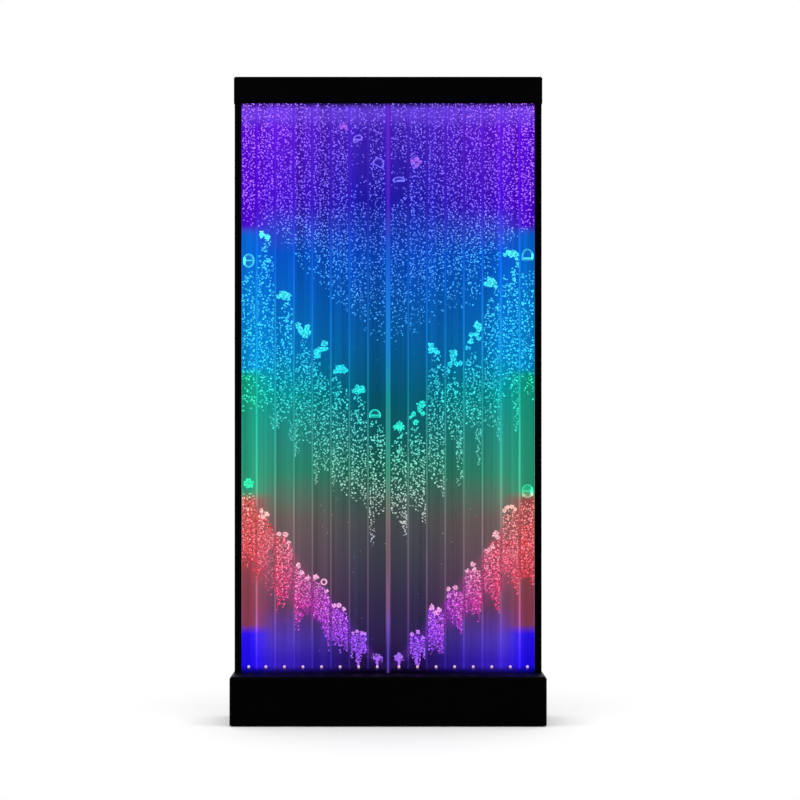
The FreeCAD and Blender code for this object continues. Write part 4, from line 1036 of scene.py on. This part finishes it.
def add_foam(bubbles):
    column = bubbles.column
    outer = max(0, min(last, column + bubbles.outward))
    inner = column - bubbles.outward
    ends = [(foam_end[column] + foam_end[beside]) / 2 for beside in (outer, column, inner)]
    tops = (water_top - foam_inset,) * 3
    keep = foam_keep[column]
    if column in foam_gap:
        gap_top, gap_end = foam_gap[column]
        drift(bubbles, tops, (gap_top,) * 3, keep=keep, **foam)
        drift(bubbles, (gap_top,) * 3, (gap_end,) * 3, **thin_foam)
        tops = (gap_end + gap_slant, gap_end, gap_end - gap_slant)
    drift(bubbles, tops, ends, keep=keep, **foam)
    if column in top_marks:
        bubbles.lobes(*top_marks[column], mark_glow, 1.0)


print("foam:", len(foam_end), "channels,", len(foam_gap), "gaps,", len(top_marks), "heads")

# %% [markdown]
# The half-way wave has a head in most channels, a stalk under it and then a long tail, whose end hangs down
# in strands. A strand is given as a share of the channel's width and the heights of its top and its end.

# %% Half-way wave
wave_heads = {
    1: (1.389, [(-11, 3, 9), (4, -6, 8)]),
    2: (1.216, [(-16, -1, 7), (-8, 6, 8), (3, 7, 8), (12, 1, 7), (-1, -4, 8), (12, -10, 5)]),
    3: (1.129, [(-14, 1, 9), (12, -3, 9), (-7, -12, 9), (1, -19, 11), (17, -17, 8), (7, -28, 8)]),
    4: (1.079, [(8, 0, 10), (11, -15, 8), (-3, -17, 9), (-15, -23, 8), (-9, -33, 8), (-17, -37, 6)]),
    5: (1.006, [(-13, -6, 7), (-6, 4, 8), (5, 7, 8), (14, -3, 8), (0, -6, 7)]),
    6: (0.949, [(-12, -4, 7), (-3, 4, 8), (8, 4, 8), (14, -3, 7), (2, -6, 8)]),
    8: (0.841, [(-9, 0, 8), (0, 7, 9), (8, 0, 8), (1, -6, 8)]),
    9: (0.905, [(11, 0, 12), (-11, -27, 7), (-19, -36, 5), (15, -25, 7), (6, -15, 7), (-5, -50, 8)]),
    10: (1.072, [(-14, 2, 10), (-15, -10, 9), (-2, -14, 8), (6, -18, 6)]),
    11: (1.052, [(-4, 0, 11), (-4, -17, 9), (-13, -32, 8), (5, -31, 8), (16, -29, 7)]),
    12: (1.132, [(11, 0, 11), (16, -11, 8), (-6, -28, 7), (8, -26, 8), (16, -38, 7), (-6, -46, 8)]),
    13: (1.260, [(-15, -9, 8), (-6, 1, 10), (5, -5, 9), (-4, -13, 8), (12, -18, 6)]),
    14: (1.340, [(-15, -7, 7), (-5, 1, 8), (6, 0, 8), (16, -6, 8), (2, -9, 7), (17, -18, 5)]),
}
head_glow = 1.05
bright_heads = {1: 1.5}
stalk_length = 0.090
stalk_glow = 1.2
tail_start = 0.040
wave_top = {0: 1.290, 7: 0.820, 15: 1.290}
wave_end = [(0.885, 0.885, 0.890), (0.880, 0.875, 0.855), (0.835, 0.855, 0.865), (0.755, 0.785, 0.795),
            (0.675, 0.705, 0.725), (0.705, 0.660, 0.635), (0.635, 0.615, 0.609), (0.560, 0.590, 0.580),
            (0.535, 0.565, 0.572), (0.588, 0.592, 0.600), (0.660, 0.665, 0.672), (0.715, 0.775, 0.850),
            (0.765, 0.815, 0.840), (0.830, 0.835, 0.847), (0.870, 0.915, 0.933), (0.905, 0.915, 0.925)]
wave_keep = [0.76, 0.76, 0.80, 0.86, 0.88, 0.88, 0.88, 0.88, 0.88, 0.88, 0.88, 0.88, 0.86, 0.80, 0.76, 0.76]
tail = {"pitch": 0.0066, "sizes": (0.0014, 0.0027), "glow": 1.4, "head": 0.15, "grow": 0.35}
patchy_columns = (0, 1, 2, last - 2, last - 1, last)
patchy_rough = 0.80
usual_rough = 0.55
strands = {
    1: [(0.90, 0.880, 0.835)], 2: [(0.10, 0.890, 0.835), (0.88, 0.860, 0.800)], 3: [(0.10, 0.840, 0.755)],
    4: [(0.16, 0.770, 0.675), (0.70, 0.760, 0.715)], 5: [(0.12, 0.780, 0.670)], 7: [(0.16, 0.610, 0.505)],
    8: [(0.86, 0.600, 0.529)], 9: [(0.88, 0.620, 0.565)], 10: [(0.92, 0.700, 0.640)],
    11: [(0.80, 0.810, 0.670)], 12: [(0.84, 0.830, 0.730)], 13: [(0.88, 0.860, 0.800)],
    14: [(0.84, 0.920, 0.825)],
}
strand_glow = 1.4


def add_half_way_wave(bubbles):
    column = bubbles.column
    if column in wave_heads:
        height, steps = wave_heads[column]
        bubbles.lobes(height, steps, bright_heads.get(column, head_glow), 1.0)
        low_x, low_z, low_size = min(steps, key=lambda step: step[1])
        top = height + (low_z - low_size) / 1000
        stalk(bubbles, bubbles.middle + low_x / 1000, top, stalk_length, stalk_glow)
        top -= tail_start
    else:
        top = wave_top[column]
    rough = patchy_rough if column in patchy_columns else usual_rough
    drift(bubbles, (top,) * 3, wave_end[column], keep=wave_keep[column], rough=rough, **tail)
    for share, strand_top, strand_end in strands.get(column, []):
        strand(bubbles, share, strand_top, strand_end, strand_glow)


print("half-way wave:", len(wave_heads), "heads,", sum(len(row) for row in strands.values()), "strands")

# %% [markdown]
# The young wave is the brightest. Each burst is filled at the rear with large beads that run into each other,
# and has separate specks in front. The two bursts beside the seam have only just left their nozzles.

# %% Young wave
young_heads = {
    0: (0.680, [(0, 8, 8), (-8, 0, 8), (8, 1, 8), (-3, -8, 8), (6, -7, 7)]),
    1: (0.601, [(-13, 0, 7), (2, -9, 8), (-8, -17, 7)]),
    2: (0.535, [(-15, 0, 7), (3, -1, 7), (13, -24, 6)]),
    3: (0.445, [(-13, 0, 7), (-4, -20, 7), (15, -36, 7)]),
    4: (0.412, [(-16, 0, 8), (16, -40, 5)]),
    5: (0.330, [(-16, 0, 7), (-2, 0, 7), (10, -9, 6)]),
    6: (0.255, [(-16, -3, 5), (-5, 1, 6), (9, -3, 5), (18, -6, 5)]),
    7: (0.187, [(-9, -3, 3), (-3, 3, 3), (5, 2, 3), (10, -4, 3)]),
    8: (0.187, [(-10, -4, 3), (-5, 2, 3), (3, 3, 3), (9, -3, 3)]),
    9: (0.252, [(-16, -3, 6), (1, 3, 6), (15, -14, 5)]),
    10: (0.327, [(-12, 0, 8), (8, -9, 7), (-1, -17, 7)]),
    11: (0.381, [(-18, -3, 6), (2, 0, 7), (-18, -23, 5)]),
    12: (0.448, [(-1, 0, 7), (-18, -19, 6), (4, -16, 7)]),
    13: (0.535, [(11, 0, 9), (17, -9, 7), (-10, -46, 6), (3, -37, 7)]),
    14: (0.612, [(-17, -9, 6), (-8, 0, 7), (4, 1, 7), (14, -7, 6)]),
    15: (0.650, [(-11, -3, 5), (12, -3, 5)]),
}
young_stretch = {
    0: ((0.650, 0.655, 0.650), (0.437, 0.437, 0.437)), 1: ((0.598, 0.590, 0.545), (0.398, 0.440, 0.520)),
    2: ((0.533, 0.533, 0.505), (0.303, 0.330, 0.400)), 3: ((0.443, 0.425, 0.405), (0.256, 0.300, 0.306)),
    4: ((0.408, 0.396, 0.355), (0.300, 0.270, 0.197)), 5: ((0.325, 0.325, 0.305), (0.218, 0.206, 0.192)),
    6: ((0.246, 0.252, 0.248), (0.187, 0.192, 0.187)), 9: ((0.240, 0.250, 0.250), (0.190, 0.180, 0.190)),
    10: ((0.312, 0.320, 0.326), (0.192, 0.196, 0.200)), 11: ((0.370, 0.375, 0.372), (0.232, 0.276, 0.295)),
    12: ((0.430, 0.440, 0.425), (0.283, 0.300, 0.318)), 13: ((0.530, 0.515, 0.488), (0.292, 0.345, 0.376)),
    14: ((0.600, 0.605, 0.595), (0.340, 0.412, 0.443)), 15: ((0.630, 0.630, 0.625), (0.398, 0.398, 0.402)),
}
young_loose = {
    1: ((0.480, 0.535, 0.548), (0.420, 0.375, 0.345)),
    14: ((0.520, 0.500, 0.470), (0.340, 0.390, 0.400)),
}
fill_drop = {0: 0.020, 14: 0.085, 15: 0.065}
young_head = 0.85
young_glow = 1.1
new_glow = 0.8
new_puff = {"z": 0.181, "wide": 0.0065, "high": 0.0048, "beads": 60, "glow": 1.2}
fill = {"pitch": 0.0048, "keep": 0.95, "sizes": (0.0018, 0.0030), "glow": 0.85, "rough": 0.1,
        "depths": rear_half, "ragged": 0.012}
specks = {"pitch": 0.0060, "keep": 0.85, "sizes": (0.0014, 0.0024), "glow": 1.45, "head": 0.34,
          "rough": 0.2, "depths": front_half, "ragged": 0.016}
loose = {"pitch": 0.0058, "keep": 0.60, "sizes": (0.0014, 0.0024), "glow": 0.95, "head": 0.45}
stem_tops = {6: 0.205, 7: 0.184, 8: 0.184, 9: 0.200}
new_stem_width = 0.003
stem_width = 0.008
stem_glow = 1.3


def add_young_wave(bubbles):
    column = bubbles.column
    is_new = column not in young_stretch
    height, steps = young_heads[column]
    bubbles.lobes(height, steps, new_glow if is_new else young_glow, young_head)
    if is_new:
        puff(bubbles, **new_puff)
    else:
        tops, ends = young_stretch[column]
        drift(bubbles, [top - fill_drop.get(column, 0.0) for top in tops], ends, **fill)
        drift(bubbles, tops, ends, **specks)
    if column in young_loose:
        drift(bubbles, *young_loose[column], **loose)
    if column in stem_tops:
        stem(bubbles, nozzle_top, stem_tops[column], new_stem_width if is_new else stem_width, stem_glow)


print("young wave:", len(young_heads), "heads,", len(stem_tops), "stems")

# %% [markdown]
# A few strays rise between the waves, and a few large clear bubbles stand out by themselves. Each has a step
# to the right in millimetres, a height in metres, two sizes in millimetres, a glow and a share of the heads'
# colour. Caps are given with their whole width and height and with a lean, the others with half of both, and
# rings and balls also with how clear they are.

# %% Strays and large clear bubbles
stray_count = 8
stray_heights = (0.20, 1.25)
stray_bead = (0.0010, 0.0016)
stray_glow = 0.7
large_bubbles = {
    0: [(Bubbles.ring, 0, 1.317, 16.5, 20, 1.3, 0.8, 0.9)],
    4: [(Bubbles.ball, 7, 0.398, 9.4, 9.4, 1.2, 1.0, 1.0)],
    6: [(Bubbles.cap, 0, 1.660, 30, 17, 1.3, 0.0, -0.5), (Bubbles.gleam, -3, 1.662, 10, 3, 1.4, 0.0)],
    7: [(Bubbles.cap, 0, 1.588, 34, 24, 1.3, 0.0, 0.5), (Bubbles.cap, -6.6, 0.868, 34, 24, 1.2, 1.0, 0.0),
        (Bubbles.gleam, -6.6, 0.874, 14, 4, 1.0, 1.0)],
    8: [(Bubbles.cap, 0, 1.543, 36, 14, 1.3, 0.0, 0.0), (Bubbles.gleam, 4, 1.545, 12, 3, 1.6, 0.0)],
    15: [(Bubbles.cap, 0, 1.318, 34, 33, 0.8, 0.8, 0.0), (Bubbles.gleam, 0, 1.323, 14, 3, 1.4, 0.8),
         (Bubbles.gleam, 14, 1.330, 3, 10, 1.8, 0.8), (Bubbles.ring, 0, 0.658, 16.5, 20, 1.1, 0.8, 0.6)],
}
cap_stalks = {7: (-4, 0.862, 0.080)}


def add_strays(bubbles):
    draw = bubbles.draw
    for stray in range(stray_count):
        bubbles.bead(draw.uniform(*bubbles.span), draw.uniform(*stray_heights), draw.uniform(*stray_bead),
                     stray_glow)


def add_large_bubbles(bubbles):
    for shape, right, z, wide, high, *looks in large_bubbles.get(bubbles.column, []):
        shape(bubbles, bubbles.middle + right / 1000, z, (wide / 1000, high / 1000), *looks)
    if bubbles.column in cap_stalks:
        right, z, length = cap_stalks[bubbles.column]
        stalk(bubbles, bubbles.middle + right / 1000, z, length, stalk_glow)


print("large clear bubbles in columns", list(large_bubbles))

# %% [markdown]
# Every channel becomes one piece, which rides on the wall and wears the bubble finish.

# %% Build the bubbles of each channel
def make_piece(bubbles):
    mesh = bpy.data.meshes.new("bubbles_%02d" % (bubbles.column + 1))
    bubbles.gather()
    bubbles.whole.to_mesh(mesh)
    bubbles.whole.free()
    bubbles.mesh.free()
    mesh.shade_smooth()
    mesh.materials.append(bubble_skin)
    piece = bpy.data.objects.new(mesh.name, mesh)
    scene.collection.objects.link(piece)
    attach(piece, "wall")
    return piece


bubble_count = 0
face_count = 0
for column in range(2 * channels):
    bubbles = Bubbles(column)
    for add in (add_foam, add_half_way_wave, add_young_wave, add_strays, add_large_bubbles):
        add(bubbles)
    bubble_count += bubbles.count
    face_count += len(make_piece(bubbles).data.polygons)
print("bubbles:", bubble_count, "faces:", face_count)

# %% [markdown]
# ## Floor and light
# The wall stands on a pale floor in an even, white room: a white sky lights the floor to white and leaves
# the soft shadow where the base keeps the sky out. Behind the viewer the room is darker in the mirror image
# of the polished front, and the floor isn't mirrored at all, so that no haze lies over the colours. Two dim
# soft lamps model the edges of the frame.

# %% Floor, world and lamps
floor_radius = 1.5
floor_sides = 96
floor_white = (0.98, 0.98, 0.98, 1)
viewer_side_range = (-0.35, 0.25, 0.05, 1.0)
lamp_places = {"soft_left": (-2.6, -1.2, 2.6), "soft_right": (2.6, -1.2, 2.6)}
lamp_aim = (0.0, 0.0, 0.9)
lamp_size = (1.2, 2.0)
lamp_power = 18.0


def make_floor():
    mesh = bpy.data.meshes.new("floor")
    bm = bmesh.new()
    bmesh.ops.create_circle(bm, cap_ends=True, radius=floor_radius, segments=floor_sides)
    bm.to_mesh(mesh)
    bm.free()
    floor = bpy.data.objects.new("floor", mesh)
    floor.visible_glossy = False
    floor.visible_transmission = False
    scene.collection.objects.link(floor)
    material, shader = new_finish("pale_floor")
    set_inputs(shader, {"Base Color": floor_white, "Roughness": 1.0, "Specular IOR Level": 0.0})
    mesh.materials.append(material)


def make_world():
    world = bpy.data.worlds.new("white_room")
    world.use_nodes = True
    tree = world.node_tree
    path = add_node(tree, "ShaderNodeLightPath").outputs
    direction = axes_of(add_node(tree, "ShaderNodeTexCoord").outputs["Generated"])
    behind_viewer = ease(direction["Y"], *viewer_side_range)
    mirrored = calculate("MAXIMUM", path["Is Glossy Ray"], path["Is Transmission Ray"])
    mirrored = product(mirrored, calculate("SUBTRACT", 1.0, path["Is Camera Ray"]))
    level = add_node(tree, "ShaderNodeMix", data_type="FLOAT")
    set_inputs(level, {0: mirrored, 2: 1.0, 3: behind_viewer})
    set_inputs(tree.nodes["Background"], {"Color": (1.0, 1.0, 1.0, 1.0), "Strength": level.outputs[0]})
    scene.world = world


def make_lamp(name, place):
    data = bpy.data.lights.new(name, "AREA")
    data.shape = "RECTANGLE"
    data.size, data.size_y = lamp_size
    data.energy = lamp_power
    lamp = bpy.data.objects.new(name, data)
    lamp.location = place
    lamp.rotation_euler = (Vector(lamp_aim) - Vector(place)).to_track_quat("-Z", "Y").to_euler()
    scene.collection.objects.link(lamp)


make_floor()
make_world()
for lamp_name, lamp_place in lamp_places.items():
    make_lamp(lamp_name, lamp_place)
print("floor, world and lamps ready")
